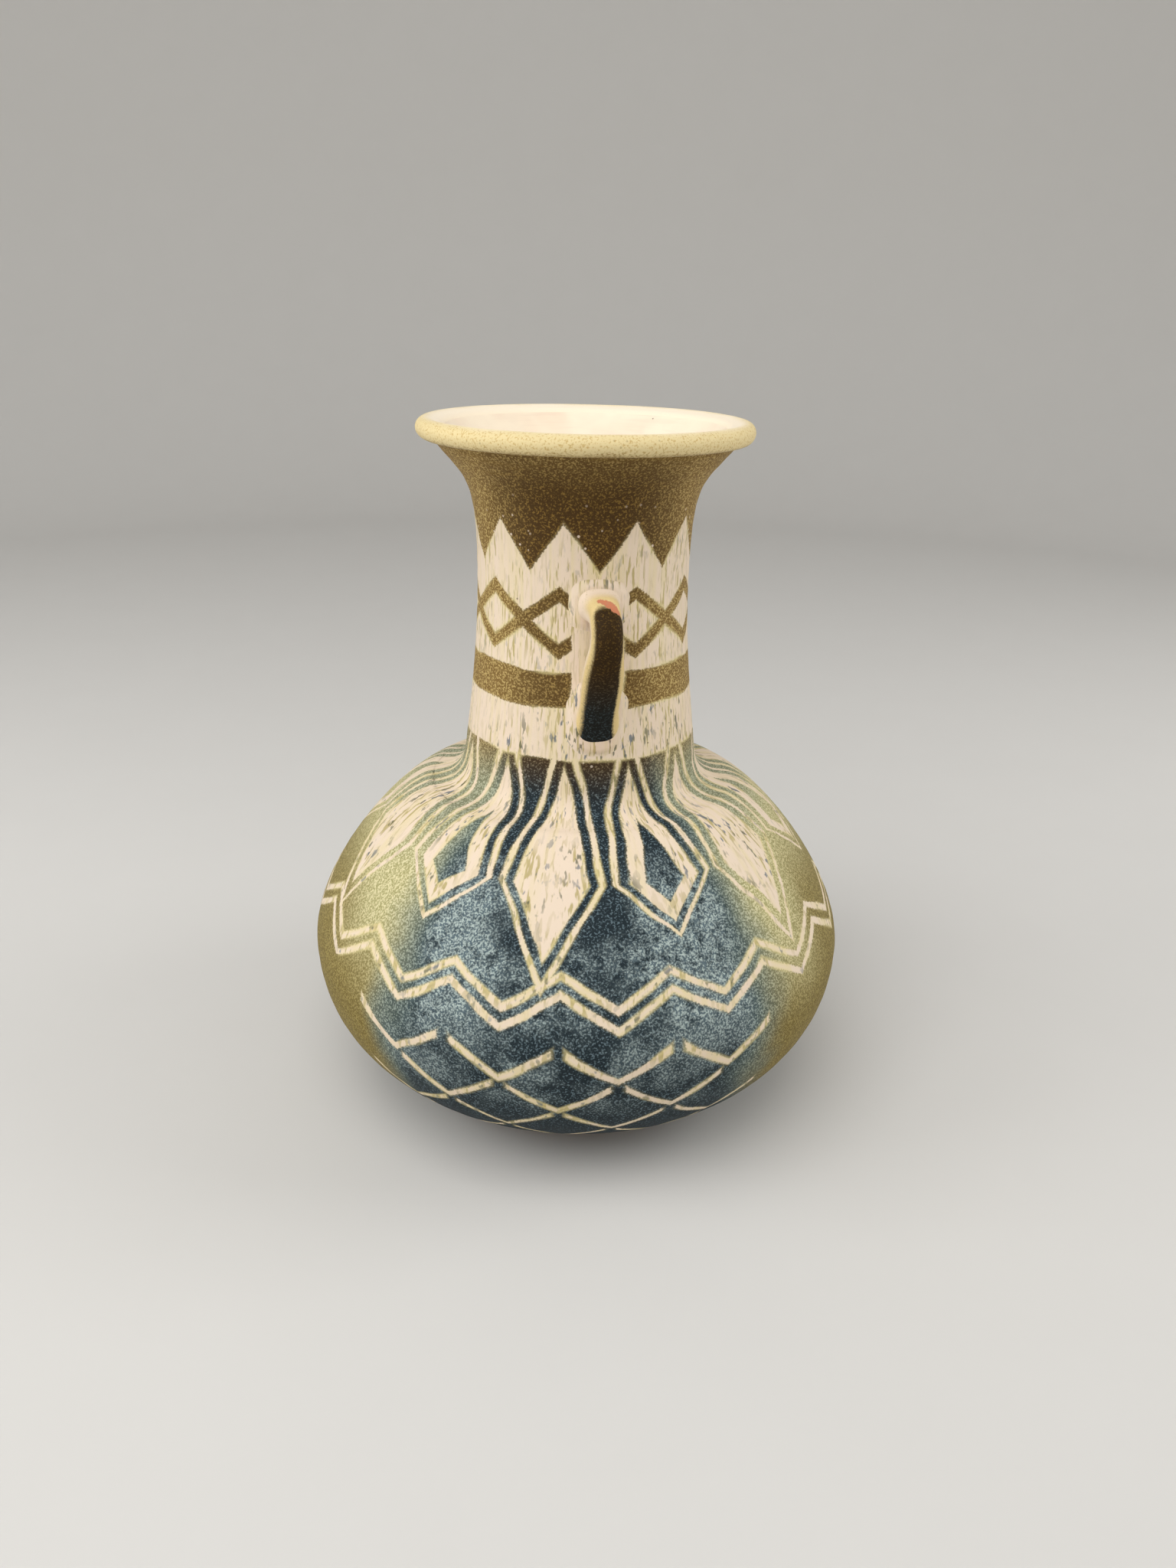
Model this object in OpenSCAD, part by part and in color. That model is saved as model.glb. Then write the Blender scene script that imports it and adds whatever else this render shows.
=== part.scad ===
// Ceramic jug: a wide thrown belly on a turned foot ring, a tall waisted neck luted onto its
// shoulder, a rolled lip and a short pulled strap handle on the neck. Lengths in millimetres,
// standing on z = 0 with the jug's axis on z and the handle towards -y.

/* [Foot] */
// Outside diameter of the foot ring
foot_d = 84; // [70:1:100]
// Height of the foot ring below the belly
foot_h = 4; // [2:0.5:7]
// Width of the foot ring
foot_w = 8; // [5:0.5:12]
// Radius of the foot ring's wiped edges
foot_edge_r = 1.2; // [0.5:0.1:2]

/* [Belly] */
// Outside diameter at the widest line
belly_d = 160; // [140:1:190]
// Height of the belly, from the foot ring to the neck's seat
belly_h = 95; // [85:1:115]
// Height of the widest line above the foot ring
widest_h = 45.5; // [36:0.5:55]
// Angle at which the underside leaves the foot, above level
underside_angle = 21; // [15:1:30]
// Angle at which the shoulder meets the neck, below level
shoulder_angle = 6; // [0:1:15]
// Thickness of the belly's floor
floor_t = 6; // [5:0.5:9]

/* [Neck] */
// Outside diameter where the neck stands on the shoulder
neck_root_d = 69.5; // [60:0.5:80]
// Height of the neck and lip above the shoulder
neck_h = 101; // [85:1:130]
// Outside diameter at the waist, the narrowest line
waist_d = 59; // [50:0.5:66]
// Height of the waist above the shoulder
waist_h = 59; // [45:1:70]
// Angle at which the neck's root leans in, off upright
neck_lean = 7; // [3:1:10]
// Angle at which the flared mouth reaches the lip, above level
flare_angle = 52; // [40:1:60]
// Depth of the bevel on which the neck is seated
seat_drop = 2; // [1:0.5:3]
// Width of the clay coil that is smoothed into the neck's root, along the shoulder
coil_w = 9; // [6:0.5:12]
// Height of that coil up the neck
coil_h = 9; // [6:0.5:12]

/* [Lip] */
// Outside diameter of the rolled lip
lip_d = 90.8; // [80:0.2:105]
// Thickness of the roll
lip_t = 5.4; // [4.5:0.1:7]

/* [Walls] */
// Thickness of the thrown wall
wall_t = 4.5; // [3.5:0.1:6]
// Thickness of the glaze that lines the inside
glaze_t = 0.5; // [0.3:0.1:0.8]

/* [Handle] */
// Height of the upper arm's middle above the shoulder
arm_h = 57; // [50:1:65]
// Height of the lower end's middle above the shoulder
end_h = 27; // [20:1:34]
// How far the handle stands out from the neck
handle_out = 22; // [18:0.5:30]
// Width of the strap at its shoulder, its narrowest place
strap_w = 8; // [6:0.5:10]
// Width of the strap at its lower end
strap_end_w = 10.5; // [7:0.5:13]
// Width of the strap where it grows out of the neck
strap_root_w = 10; // [8:0.5:13]
// Thickness of the strap along the arm
strap_t = 8; // [6:0.5:9]
// Thickness of the strap at its lower end
strap_end_t = 7; // [5:0.5:9]
// Radius of the bend at the strap's shoulder, on its middle line
strap_bend_r = 6; // [5:0.5:9]
// How far the strap spreads into a cove where it meets the slip
cove = 0.9; // [0.4:0.1:1.5]
// Distance from the neck over which the strap spreads
cove_reach = 3.2; // [2:0.1:5]
// Thickness of the slip under the strap's two ends
pad_t = 0.8; // [0.5:0.1:1.5]
// How far the slip is smeared round the strap
pad_rim = 2.2; // [1.5:0.1:3]

/* [Hidden] */
$fn = 96;

// Steps in a long curve, in a short one, round the strap, and along its arm and its lower part
curve_steps = 16;
bend_steps = 8;
ring_steps = 24;
arm_steps = 8;
down_steps = 14;
// How strongly each curve follows its end angles, as shares of the distance between its ends
underside_shares = [0.18, 0.53];
shoulder_shares = [0.27, 0.19];
neck_shares = [0.32, 0.33];
flare_shares = [0.74, 0.37];
blend_shares = [0.5, 0.5];
// Directions on the roll: where the flare meets it below, and where the inside leaves its crown
roll_meet_angle = 240;
roll_leave_angle = 470;
// Power of the strap's softly squared section, and the shares of the arm over which it narrows and
// of the lower part over which it widens
section_power = 2.6;
narrow_share = 0.7;
widen_share = 0.5;
// Rings of the slip from its middle out: shares of the strap's outline, of the rim and of the thickness
slip_shares = [[0.5, 0, 1], [1, 0, 1], [1, 0.35, 0.8], [1, 0.7, 0.3], [1, 1, 0], [1, 0, 0], [0.5, 0, 0]];

foot_r = foot_d / 2;
belly_r = belly_d / 2;
widest_z = foot_h + widest_h;
seat_z = foot_h + belly_h;
floor_z = foot_h + floor_t;
top_z = seat_z + neck_h;
root_r = neck_root_d / 2;
roll_r = lip_t / 2;

// Point at distance 1 in direction a
function dir(a) = [cos(a), sin(a)];

// Cubic curve from a to b that leaves at angle a_angle and arrives at angle b_angle
function curve(a, a_angle, b, b_angle, shares, steps = curve_steps) =
    let (d = norm(b - a), c = a + shares[0] * d * dir(a_angle), e = b - shares[1] * d * dir(b_angle))
    [for (i = [0:steps]) let (t = i / steps, u = 1 - t)
        u * u * u * a + 3 * u * u * t * c + 3 * u * t * t * e + t * t * t * b];

// A line of points moved by d to the left of its run, kept on the outer side of the axis
function moved(p, d) = [for (i = [0:len(p) - 1])
    let (run = p[min(i + 1, len(p) - 1)] - p[max(i - 1, 0)], q = p[i] + d * [-run[1], run[0]] / norm(run))
    [max(0, q[0]), q[1]]];

function reversed(p) = [for (i = [len(p) - 1:-1:0]) p[i]];
function without_first(p) = [for (i = [1:len(p) - 1]) p[i]];

// Outside of the belly, from the foot to the neck's seat. The last stretch lies under the coil.
seat_outer = [root_r, seat_z];
seat_inner = [root_r - wall_t, seat_z - seat_drop];
coil_out = seat_outer + coil_w * dir(-shoulder_angle);
coil_up = seat_outer + coil_h * dir(90 + neck_lean);
belly_outside = concat(
    curve([foot_r, foot_h], underside_angle, [belly_r, widest_z], 90, underside_shares),
    without_first(curve([belly_r, widest_z], 90, coil_out, 180 - shoulder_angle, shoulder_shares)),
    [seat_outer]);

// Inside of the belly, from the middle of its floor to the edge on which the neck is seated
belly_wall_inside = [for (p = moved(belly_outside, wall_t)) if (p[1] > floor_z) p];
last_inside = belly_wall_inside[len(belly_wall_inside) - 1];
belly_inside = concat([[0, floor_z]], belly_wall_inside,
    without_first(curve(last_inside, 180 - shoulder_angle, seat_inner, 90, blend_shares, bend_steps)));

// Outside of the neck, from its seat to the roll of the lip
waist_point = [waist_d / 2, seat_z + waist_h];
roll_centre = [lip_d / 2 - roll_r, top_z - roll_r];
roll_point = roll_centre + roll_r * dir(roll_meet_angle);
neck_outside = concat([seat_outer],
    curve(coil_up, 90 + neck_lean, waist_point, 90, neck_shares),
    without_first(curve(waist_point, 90, roll_point, flare_angle, flare_shares)));

// Inside of the neck, from the seat to the lip
lip_inner = roll_point + wall_t * dir(flare_angle + 90);
neck_inside = concat([seat_inner], without_first(moved(neck_outside, wall_t)));

// Rolled lip: round outside, and drawn over the crown into the inside of the mouth
roll_arc = [for (i = [0:curve_steps])
    roll_centre + roll_r * dir(roll_meet_angle + (roll_leave_angle - roll_meet_angle) * i / curve_steps)];
crown = curve(roll_arc[curve_steps], roll_leave_angle - 270, lip_inner, flare_angle + 180,
    blend_shares, bend_steps);

// Radius of the neck's outside at height z
function neck_r(z) = lookup(z, [for (p = neck_outside) [p[1], p[0]]]);

// Middle line of the strap in its own plane: distance from the axis, height. It runs on into the
// neck until both of its faces lie inside the wall.
arm_z = seat_z + arm_h;
end_z = seat_z + end_h;
corner = [neck_r(arm_z) + handle_out - strap_t / 2, arm_z];
arm_start = [neck_r(arm_z) - wall_t, arm_z];
end_point = [neck_r(end_z), end_z];
slope = (end_point - corner) / norm(end_point - corner);
slope_angle = atan2(slope[1], slope[0]);
end_lean = -90 - slope_angle;
strap_stop = end_point + (strap_end_t / 2 / tan(end_lean) + wall_t) * slope;
bend_cut = strap_bend_r * tan(-slope_angle / 2);
bend_centre = corner + [-bend_cut, -strap_bend_r];
arm_line = [for (i = [0:arm_steps - 1])
    arm_start + (corner + [-bend_cut, 0] - arm_start) * i / arm_steps];
bend_line = [for (i = [0:bend_steps]) bend_centre + strap_bend_r * dir(90 + slope_angle * i / bend_steps)];
down_line = [for (i = [1:down_steps])
    bend_line[bend_steps] + (strap_stop - bend_line[bend_steps]) * i / down_steps];
strap_line = concat(arm_line, bend_line, down_line);

// Width and thickness of the strap at a share of the way along it
bend_share = (len(arm_line) + bend_steps / 2) / (len(strap_line) - 1);
function eased(t) = let (u = max(0, min(1, t))) u * u * (3 - 2 * u);
function lowered(s) = (s - bend_share) / (1 - bend_share);
function strap_width(s) = s < bend_share
    ? strap_root_w + (strap_w - strap_root_w) * eased(s / bend_share / narrow_share)
    : strap_w + (strap_end_w - strap_w) * eased(lowered(s) / widen_share);
function strap_thick(s) = strap_t + (strap_end_t - strap_t) * eased(lowered(s));

// Softly squared outline of half width and half thickness 1
function squared(c) = sign(c) * pow(abs(c), 2 / section_power);
outline_shares = [for (i = [0:ring_steps - 1])
    let (c = dir(360 * i / ring_steps)) [squared(c[0]), squared(c[1])]];

// Point of the strap's outline round p, whose outward direction is side, with the outline grown by d
function strap_point(p, side, half, share, d) = let (off = share[1] * (half[1] + d))
    [share[0] * (half[0] + d), -(p[0] + off * side[0]), p[1] + off * side[1]];

// How far a point stands out from the neck, and how far the strap spreads there
function clearance(p) = norm([p[0], p[1]]) - neck_r(p[2]);
function spread(p) = let (near = max(0, 1 - max(0, clearance(p)) / cove_reach)) cove * near * near;

// One ring of the strap, square to its middle line and spread where it nears the neck
function strap_ring(i) =
    let (n = len(strap_line) - 1, s = i / n, p = strap_line[i],
         run = strap_line[min(i + 1, n)] - strap_line[max(i - 1, 0)], side = [-run[1], run[0]] / norm(run),
         half = [strap_width(s) / 2, strap_thick(s) / 2])
    [for (share = outline_shares) let (thin = strap_point(p, side, half, share, 0))
        strap_point(p, side, half, share, spread(thin))];

// Point that stands out by h from the neck's front
function on_neck(x, z, h) = let (r = neck_r(z), a = asin(x / r)) [(r + h) * sin(a), -(r + h) * cos(a), z];

// Triangles between rings of n points that follow each other
function ring_sides(rings, n, first = 0) = [for (i = [0:rings - 2], j = [0:n - 1])
    let (k = (j + 1) % n, a = first + i * n, b = a + n) each [[a + j, b + j, b + k], [a + j, b + k, a + k]]];

// Solid of revolution between an outer and an inner line
module turned(outer, inner) {
    rotate_extrude() polygon(concat(outer, reversed(inner)));
}

// Everything inside the neck's outside, with d added all round
module neck_core(d) {
    skin = moved(neck_outside, -d);
    rotate_extrude() polygon(concat([[0, seat_z]], skin, [[0, skin[len(skin) - 1][1]]]));
}

// Mound of slip on the neck, round an end of the strap of half width w and half height h
module slip(z, w, h) {
    n = ring_steps;
    rings = [for (s = slip_shares) each [for (q = outline_shares) let (rim = s[1] * pad_rim)
        on_neck(q[0] * (w * s[0] + rim), z + q[1] * (h * s[0] + rim), s[2] * pad_t)]];
    last = len(rings) + 1;
    crown = [for (j = [0:n - 1]) [0, 1 + j, 1 + (j + 1) % n]];
    base = [for (j = [0:n - 1]) [last, last - n + (j + 1) % n, last - n + j]];
    polyhedron(concat([on_neck(0, z, pad_t)], rings, [on_neck(0, z, 0)]),
        concat(crown, ring_sides(len(slip_shares), n, 1), base));
}

// Turned foot, unglazed where it stands
module foot_ring() {
    inner_r = foot_r - foot_w;
    outer_edge = [foot_r - foot_edge_r, foot_edge_r];
    inner_edge = [inner_r + foot_edge_r, foot_edge_r];
    color([0.66, 0.47, 0.36]) rotate_extrude() polygon(concat(
        [[inner_r, foot_h], [foot_r, foot_h]],
        [for (i = [0:bend_steps]) outer_edge + foot_edge_r * dir(-90 * i / bend_steps)],
        [for (i = [0:bend_steps]) inner_edge + foot_edge_r * dir(-90 - 90 * i / bend_steps)]));
}

// Wide thrown belly with its floor and the bevelled edge for the neck
module belly() {
    color([0.33, 0.43, 0.46]) turned(concat([[0, foot_h]], belly_outside), belly_inside);
}

// Coil of clay smoothed between the shoulder and the neck
module neck_joint() {
    smoothed = curve(coil_out, 180 - shoulder_angle, coil_up, 90 + neck_lean, blend_shares, bend_steps);
    color([0.38, 0.42, 0.38]) turned([coil_out, seat_outer, coil_up], without_first(smoothed));
}

// Waisted neck that flares into the mouth
module neck() {
    color([0.47, 0.40, 0.26]) turned(neck_outside, neck_inside);
}

// Rolled lip
module rim_bead() {
    color([0.80, 0.68, 0.42]) rotate_extrude() polygon(concat(roll_arc, without_first(crown)));
}

// Pale glaze that lines the floor, the wall and the mouth
module inner_glaze() {
    lined = concat(belly_inside, without_first(neck_inside));
    color([0.93, 0.86, 0.77]) turned(lined, moved(lined, glaze_t));
}

// Pulled strap, cut to the slip at both ends
module handle_strap() {
    n = len(strap_line);
    points = [for (i = [0:n - 1]) each strap_ring(i)];
    caps = [[for (j = [0:ring_steps - 1]) j], [for (j = [ring_steps - 1:-1:0]) (n - 1) * ring_steps + j]];
    color([0.24, 0.20, 0.15]) difference() {
        polyhedron(points, concat(ring_sides(n, ring_steps), caps));
        neck_core(pad_t);
    }
}

module upper_handle_joint() {
    color([0.90, 0.85, 0.70]) slip(arm_z, strap_root_w / 2 + cove, strap_t / 2 + cove);
}

module lower_handle_joint() {
    footprint_h = strap_end_t / sin(end_lean);
    color([0.88, 0.80, 0.74]) slip(end_z, strap_end_w / 2 + cove, footprint_h / 2 + cove);
}

foot_ring();
belly();
neck_joint();
neck();
rim_bead();
inner_glaze();
handle_strap();
upper_handle_joint();
lower_handle_joint();
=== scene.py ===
"""Painted stoneware jug, laid out as an add-on: thrown, joined, glazed and set on a studio stage.

The section of the jug is drawn once, from the foot to the lip, and each thrown piece is a slice of
it turned round the axis. Lengths are metres, the axis is z and the handle stands towards -y.
"""

import math
from collections import namedtuple

import bpy
from mathutils import Color, Matrix, Vector, noise


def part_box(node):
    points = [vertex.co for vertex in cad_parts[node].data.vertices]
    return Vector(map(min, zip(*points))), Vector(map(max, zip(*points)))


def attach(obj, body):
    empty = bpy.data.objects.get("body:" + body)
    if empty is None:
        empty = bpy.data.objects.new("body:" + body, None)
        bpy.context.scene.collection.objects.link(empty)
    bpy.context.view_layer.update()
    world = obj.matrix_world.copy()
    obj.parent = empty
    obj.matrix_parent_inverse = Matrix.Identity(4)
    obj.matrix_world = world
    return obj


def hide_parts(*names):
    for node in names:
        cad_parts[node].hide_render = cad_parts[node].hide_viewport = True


bl_info = {
    "name": "Painted Stoneware Jug",
    "version": (1, 0, 0),
    "blender": (4, 5, 0),
    "location": "3D Viewport > Sidebar > Jug",
    "description": "Throws, joins and glazes a stoneware jug with a waisted neck and a strap handle",
    "category": "Add Mesh",
}

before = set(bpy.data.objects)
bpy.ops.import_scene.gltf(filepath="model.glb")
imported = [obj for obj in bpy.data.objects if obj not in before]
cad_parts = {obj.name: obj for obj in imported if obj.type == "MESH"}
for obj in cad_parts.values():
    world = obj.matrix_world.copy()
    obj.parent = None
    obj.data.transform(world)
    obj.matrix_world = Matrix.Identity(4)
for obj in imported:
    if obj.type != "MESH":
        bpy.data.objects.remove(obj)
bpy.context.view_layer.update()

MM = 0.001
PER_METRE = 1000
BODY = "root"
# Anything nearer to the axis than this lies on it
HAIR = 0.001 * MM


def width_of(node):
    """Diameter of a turned CAD node."""
    low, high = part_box(node)
    return high.x - low.x


def top_of(node):
    """Height of a CAD node's highest point."""
    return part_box(node)[1].z


def length(name, description, default):
    """A length that the user may change, in metres."""
    return bpy.props.FloatProperty(
        name=name, description=description, default=default, unit="LENGTH", precision=5, min=0.0
    )


def bearing(name, description, degrees):
    """An angle that the user may change."""
    return bpy.props.FloatProperty(
        name=name, description=description, default=math.radians(degrees), unit="ROTATION"
    )


def number(name, description, default):
    """A plain number that the user may change."""
    return bpy.props.FloatProperty(name=name, description=description, default=default)


def count(name, description, default):
    """A whole number that the user may change."""
    return bpy.props.IntProperty(name=name, description=description, default=default, min=1)


def colour(name, description, red, green, blue):
    """A colour that the user may change. Its default is written as it looks, from 0 to 255."""
    linear = Color([c / 255 for c in (red, green, blue)]).from_srgb_to_scene_linear()
    return bpy.props.FloatVectorProperty(
        name=name, description=description, default=(*linear, 1.0), size=4, subtype="COLOR", min=0, max=1
    )


class JugForm(bpy.types.PropertyGroup):
    """Sizes of the thrown and pulled clay"""

    foot_d: length("Foot diameter", "Outside of the foot ring", width_of("foot_ring"))
    foot_h: length("Foot height", "Height of the foot ring", top_of("foot_ring"))
    foot_w: length("Foot width", "Width of the foot ring", 8 * MM)
    foot_edge: length("Foot edge", "Radius of the wiped edges of the foot", 1.2 * MM)
    belly_d: length("Belly diameter", "Outside at the widest line", width_of("belly"))
    widest_z: length("Widest height", "Height of the widest line above the table", 49.5 * MM)
    seat_z: length("Shoulder height", "Height at which the neck stands on the shoulder", top_of("belly"))
    underside: bearing("Underside", "Angle at which the underside leaves the foot, above level", 21)
    shoulder: bearing("Shoulder", "Angle at which the shoulder meets the neck, below level", 6)
    floor_t: length("Floor", "Thickness of the belly's floor", 6 * MM)
    neck_root_d: length("Neck root", "Outside of the neck where it stands on the shoulder", 69.5 * MM)
    waist_d: length("Waist diameter", "Outside at the narrowest line of the neck", 59 * MM)
    waist_z: length("Waist height", "Height of the narrowest line above the table", 158 * MM)
    neck_lean: bearing("Neck lean", "Angle at which the neck's root leans in, off upright", 7)
    flare: bearing("Flare", "Angle at which the mouth reaches the lip, above level", 52)
    seat_drop: length("Seat", "Depth of the bevel on which the neck is seated", 2 * MM)
    coil: length("Coil", "Reach of the clay coil smoothed into the neck's root", 9 * MM)
    lip_d: length("Lip diameter", "Outside of the rolled lip", width_of("rim_bead"))
    lip_t: length("Lip roll", "Thickness of the roll", 5.4 * MM)
    top_z: length("Height", "Height of the jug", top_of("rim_bead"))
    wall: length("Wall", "Thickness of the thrown wall", 4.5 * MM)
    lining: length("Lining", "Thickness of the glaze inside", 0.5 * MM)
    facets: count("Facets", "Facets round the jug", 400)


class JugHandle(bpy.types.PropertyGroup):
    """Sizes of the pulled strap and the slip that holds it"""

    arm_z: length("Arm height", "Height of the middle of the upper arm", 156 * MM)
    end_z: length("End height", "Height of the middle of the lower end", 126 * MM)
    out: length("Stand-off", "How far the handle stands out from the neck", 22 * MM)
    width: length("Width", "Width at the shoulder of the strap", 8 * MM)
    end_width: length("End width", "Width at the lower end", 10.5 * MM)
    root_width: length("Root width", "Width where the strap grows out of the neck", 10 * MM)
    thick: length("Thickness", "Thickness along the arm", 8 * MM)
    end_thick: length("End thickness", "Thickness at the lower end", 7 * MM)
    bend: length("Bend", "Radius of the bend at the shoulder of the strap", 6 * MM)
    cove: length("Cove", "How far the strap spreads where it is luted on", 0.9 * MM)
    pad_t: length("Slip thickness", "Thickness of the slip under the ends of the strap", 0.8 * MM)
    pad_rim: length("Slip rim", "How far the slip is smeared round the strap", 2.2 * MM)


class JugPainting(bpy.types.PropertyGroup):
    """Places of the painted borders, as heights along the wall above the foot, and their counts"""

    tooth_low: length("Tooth tips", "Tips of the brown teeth under the flare", 199 * MM)
    tooth_high: length("Tooth gaps", "Gaps between the brown teeth", 212 * MM)
    teeth: count("Teeth", "Brown teeth round the neck", 10)
    chain_mid: length("Chain height", "Middle of the chain of lozenges", 186 * MM)
    chain_h: length("Chain width", "Height of the chain, between the middles of its lines", 15 * MM)
    chain_line: length("Chain line", "Width of the brown line of the chain", 3.4 * MM)
    lozenges: count("Lozenges", "Lozenges in the chain", 9)
    band_low: length("Band foot", "Lower edge of the brown band", 163 * MM)
    band_high: length("Band top", "Upper edge of the brown band", 173 * MM)
    collar_low: length("Collar", "Lower edge of the cream collar", 149 * MM)
    kite_top: length("Kite tips", "Upper tips of the kites on the neck", 147 * MM)
    kite_wide: length("Kite middle", "Height of the widest line of a kite", 110 * MM)
    kite_low: length("Long kites", "Lower tips of the long kites", 90 * MM)
    kite_high: length("Short kites", "Lower tips of the short kites", 99 * MM)
    kite_w: length("Kite width", "Width of a kite", 20 * MM)
    kite_rim: length("Kite rim", "Width of the cream left round the blue heart of a short kite", 4.4 * MM)
    kite_gap: length("Kite outline", "Distance from the kites to the line drawn round them", 3.4 * MM)
    kites: count("Kites", "Long kites round the shoulder, with as many short ones between", 6)
    zigzag_mid: length("Zigzag height", "Middle of the double zigzag", 80 * MM)
    zigzag_h: length("Zigzag rise", "Height of the zigzag", 9 * MM)
    zigzags: count("Zigzags", "Points of the zigzag round the belly", 16)
    chevron_top: length("Chevron height", "Tips of the upper row of chevrons", 68 * MM)
    chevron_step: length("Chevron step", "Distance between rows of chevrons", 11 * MM)
    rows: count("Rows", "Rows of chevrons", 4)
    line: length("Line", "Width of a drawn line", 1.8 * MM)
    wipe_w: length("Wiped slip", "Width of the pale slip wiped down the neck behind the handle", 14 * MM)
    wipe_top: length("Wiped slip top", "Upper edge of that slip", 196 * MM)


class JugGlazes(bpy.types.PropertyGroup):
    """Colours of the glazes, slips and clay"""

    cream: colour("Cream", "Brushed cream slip", 233, 214, 192)
    cream_warm: colour("Warm cream", "Yellow and green tinge at the edges of the cream", 224, 209, 150)
    dash_olive: colour("Olive dash", "Olive yellow left between the brush marks", 172, 156, 88)
    dash_dark: colour("Dark dash", "Green black left between the brush marks", 84, 88, 64)
    dash_blue: colour("Blue dash", "Blue left between the brush marks", 74, 94, 112)
    brown: colour("Brown", "Sprayed brown of the flare", 72, 50, 16)
    brown_grain: colour("Brown grain", "Light grains in the brown", 134, 104, 46)
    # Umber also paints light: the flare lighter at its sides and top, and the bands lighter at their sides
    umber: colour("Umber", "Lighter brown of the bands and of the flare's sides", 126, 98, 50)
    umber_grain: colour("Umber grain", "Light grains in the umber", 194, 169, 108)
    # Navy also paints shade: the lower belly darkens into it towards the foot
    navy: colour("Navy", "Slate navy of the neck's root and the belly's front", 24, 37, 43)
    navy_grain: colour("Navy grain", "Light grains in the navy", 94, 112, 120)
    cloud: colour("Cloud", "Pale blue clouds beside the navy", 192, 206, 200)
    # Olive is the glaze's own colour, and partly painted shade where it darkens the belly's sides towards the
    # bottom
    olive: colour("Olive", "Sprayed olive of the belly's lower sides", 113, 96, 45)
    olive_grain: colour("Olive grain", "Light grains in the olive", 154, 138, 79)
    pale: colour("Pale olive", "Pale green glaze of the shoulder's sides", 166, 160, 108)
    pale_grain: colour("Pale grain", "Light grains in the pale olive", 222, 213, 168)
    teal: colour("Teal", "Grey teal between navy and olive", 78, 95, 92)
    teal_grain: colour("Teal grain", "Light grains in the teal", 146, 160, 149)
    ochre: colour("Ochre", "Ochre cream of the lip", 230, 211, 160)
    ochre_grain: colour("Ochre grain", "Brown grains in the lip", 204, 174, 112)
    lining: colour("Lining", "Pale glaze of the inside", 248, 234, 210)
    pinhole: colour("Pinhole", "Pinholes in the lining", 92, 70, 50)
    clay: colour("Clay", "Bare fired clay", 184, 138, 108)
    clay_grain: colour("Clay grain", "Grog in the clay", 132, 92, 70)
    strap: colour("Strap", "Brown of the strap's outer face", 50, 34, 10)
    strap_low: colour("Strap foot", "Blue-black of the strap's lower end", 24, 27, 25)
    flank: colour("Flank", "Cream yellow of the strap's flanks", 222, 196, 126)
    # Chip also tints the painted shadow under the strap's ends
    chip: colour("Chip", "Bare pink clay of the chip on the strap", 206, 128, 94)
    floor: colour("Floor", "Studio floor and cove", 214, 212, 208)


class JugStage(bpy.types.PropertyGroup):
    """Camera and lamps"""

    distance: length("Distance", "Level distance from the jug's axis to the camera", 328.6 * MM)
    height: length("Camera height", "Height of the camera above the table", 229 * MM)
    azimuth: bearing("Azimuth", "Place of the camera round the jug, towards -x", 8.3)
    pitch: bearing("Pitch", "How far the camera looks down", 22.32)
    yaw: bearing("Yaw", "How far the camera looks to the right of the axis", 0.46)
    roll: bearing("Roll", "How far the jug leans to the right in the picture", 1.23)
    lens: number("Lens", "Focal length for a sensor 36 mm long", 27.07)
    key: number("Key lamp", "Strength of the overhead lamp, in watts", 6.7)
    side: number("Side lamps", "Strength of each lamp at the sides, in watts", 3)
    ambient: number("Ambient", "Strength of the even light from the room", 0.38)


GROUPS = {
    "jug_form": JugForm,
    "jug_handle": JugHandle,
    "jug_painting": JugPainting,
    "jug_glazes": JugGlazes,
    "jug_stage": JugStage,
}

# Straight up, as a direction in a section
UP = math.pi / 2
# How strongly each curve of the section follows its end angles, as shares of the way between its ends
UNDERSIDE_SHARES = (0.18, 0.53)
SHOULDER_SHARES = (0.27, 0.19)
NECK_SHARES = (0.32, 0.33)
FLARE_SHARES = (0.74, 0.37)
BLEND_SHARES = (0.5, 0.5)
# Directions on the roll: where the flare meets it below, and where the inside leaves its crown
ROLL_MEET = math.radians(240)
ROLL_LEAVE = math.radians(470)
CURVE_STEPS = 64
SHORT_STEPS = 28


def direction(angle):
    """Unit step in a section, at an angle above outward."""
    return Vector((math.cos(angle), math.sin(angle)))


def eased(share):
    """Soft step from 0 to 1."""
    share = max(0.0, min(1.0, share))
    return share * share * (3 - 2 * share)


def curve(start, leave, end, arrive, shares, steps=CURVE_STEPS):
    """Cubic curve through two points, with its points closer together towards both ends."""
    reach = (end - start).length
    first = start + shares[0] * reach * direction(leave)
    last = end - shares[1] * reach * direction(arrive)
    points = []
    for i in range(steps + 1):
        t = (1 - math.cos(math.pi * i / steps)) / 2
        u = 1 - t
        points.append(u**3 * start + 3 * u * u * t * first + 3 * u * t * t * last + t**3 * end)
    return points


def normals(points):
    """Normal to the left of the run at each point of a line."""
    found = []
    for i in range(len(points)):
        run = points[min(i + 1, len(points) - 1)] - points[max(i - 1, 0)]
        found.append(Vector((-run.y, run.x)).normalized())
    return found


def moved(points, distance):
    """A line moved to the left of its run, kept on the outer side of the axis."""
    shifted = [p + distance * n for p, n in zip(points, normals(points))]
    return [Vector((max(0.0, p.x), p.y)) for p in shifted]


# A point of the section: place, normal out of the clay, height along the wall, and share of relief
Spot = namedtuple("Spot", "point normal rise relief")


def spots(points, outward):
    """Spots along a line. outward is -1 where the clay lies to the left of the run."""
    rise = 0.0
    found = []
    for i, (point, normal) in enumerate(zip(points, normals(points))):
        rise += (point - points[i - 1]).length if i else 0.0
        found.append(Spot(point, outward * normal, rise, 1.0))
    return found


def plain(point, rise=0.0):
    """A hidden corner of a section, without relief."""
    return Spot(point, Vector((0, 0)), rise, 0.0)


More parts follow.
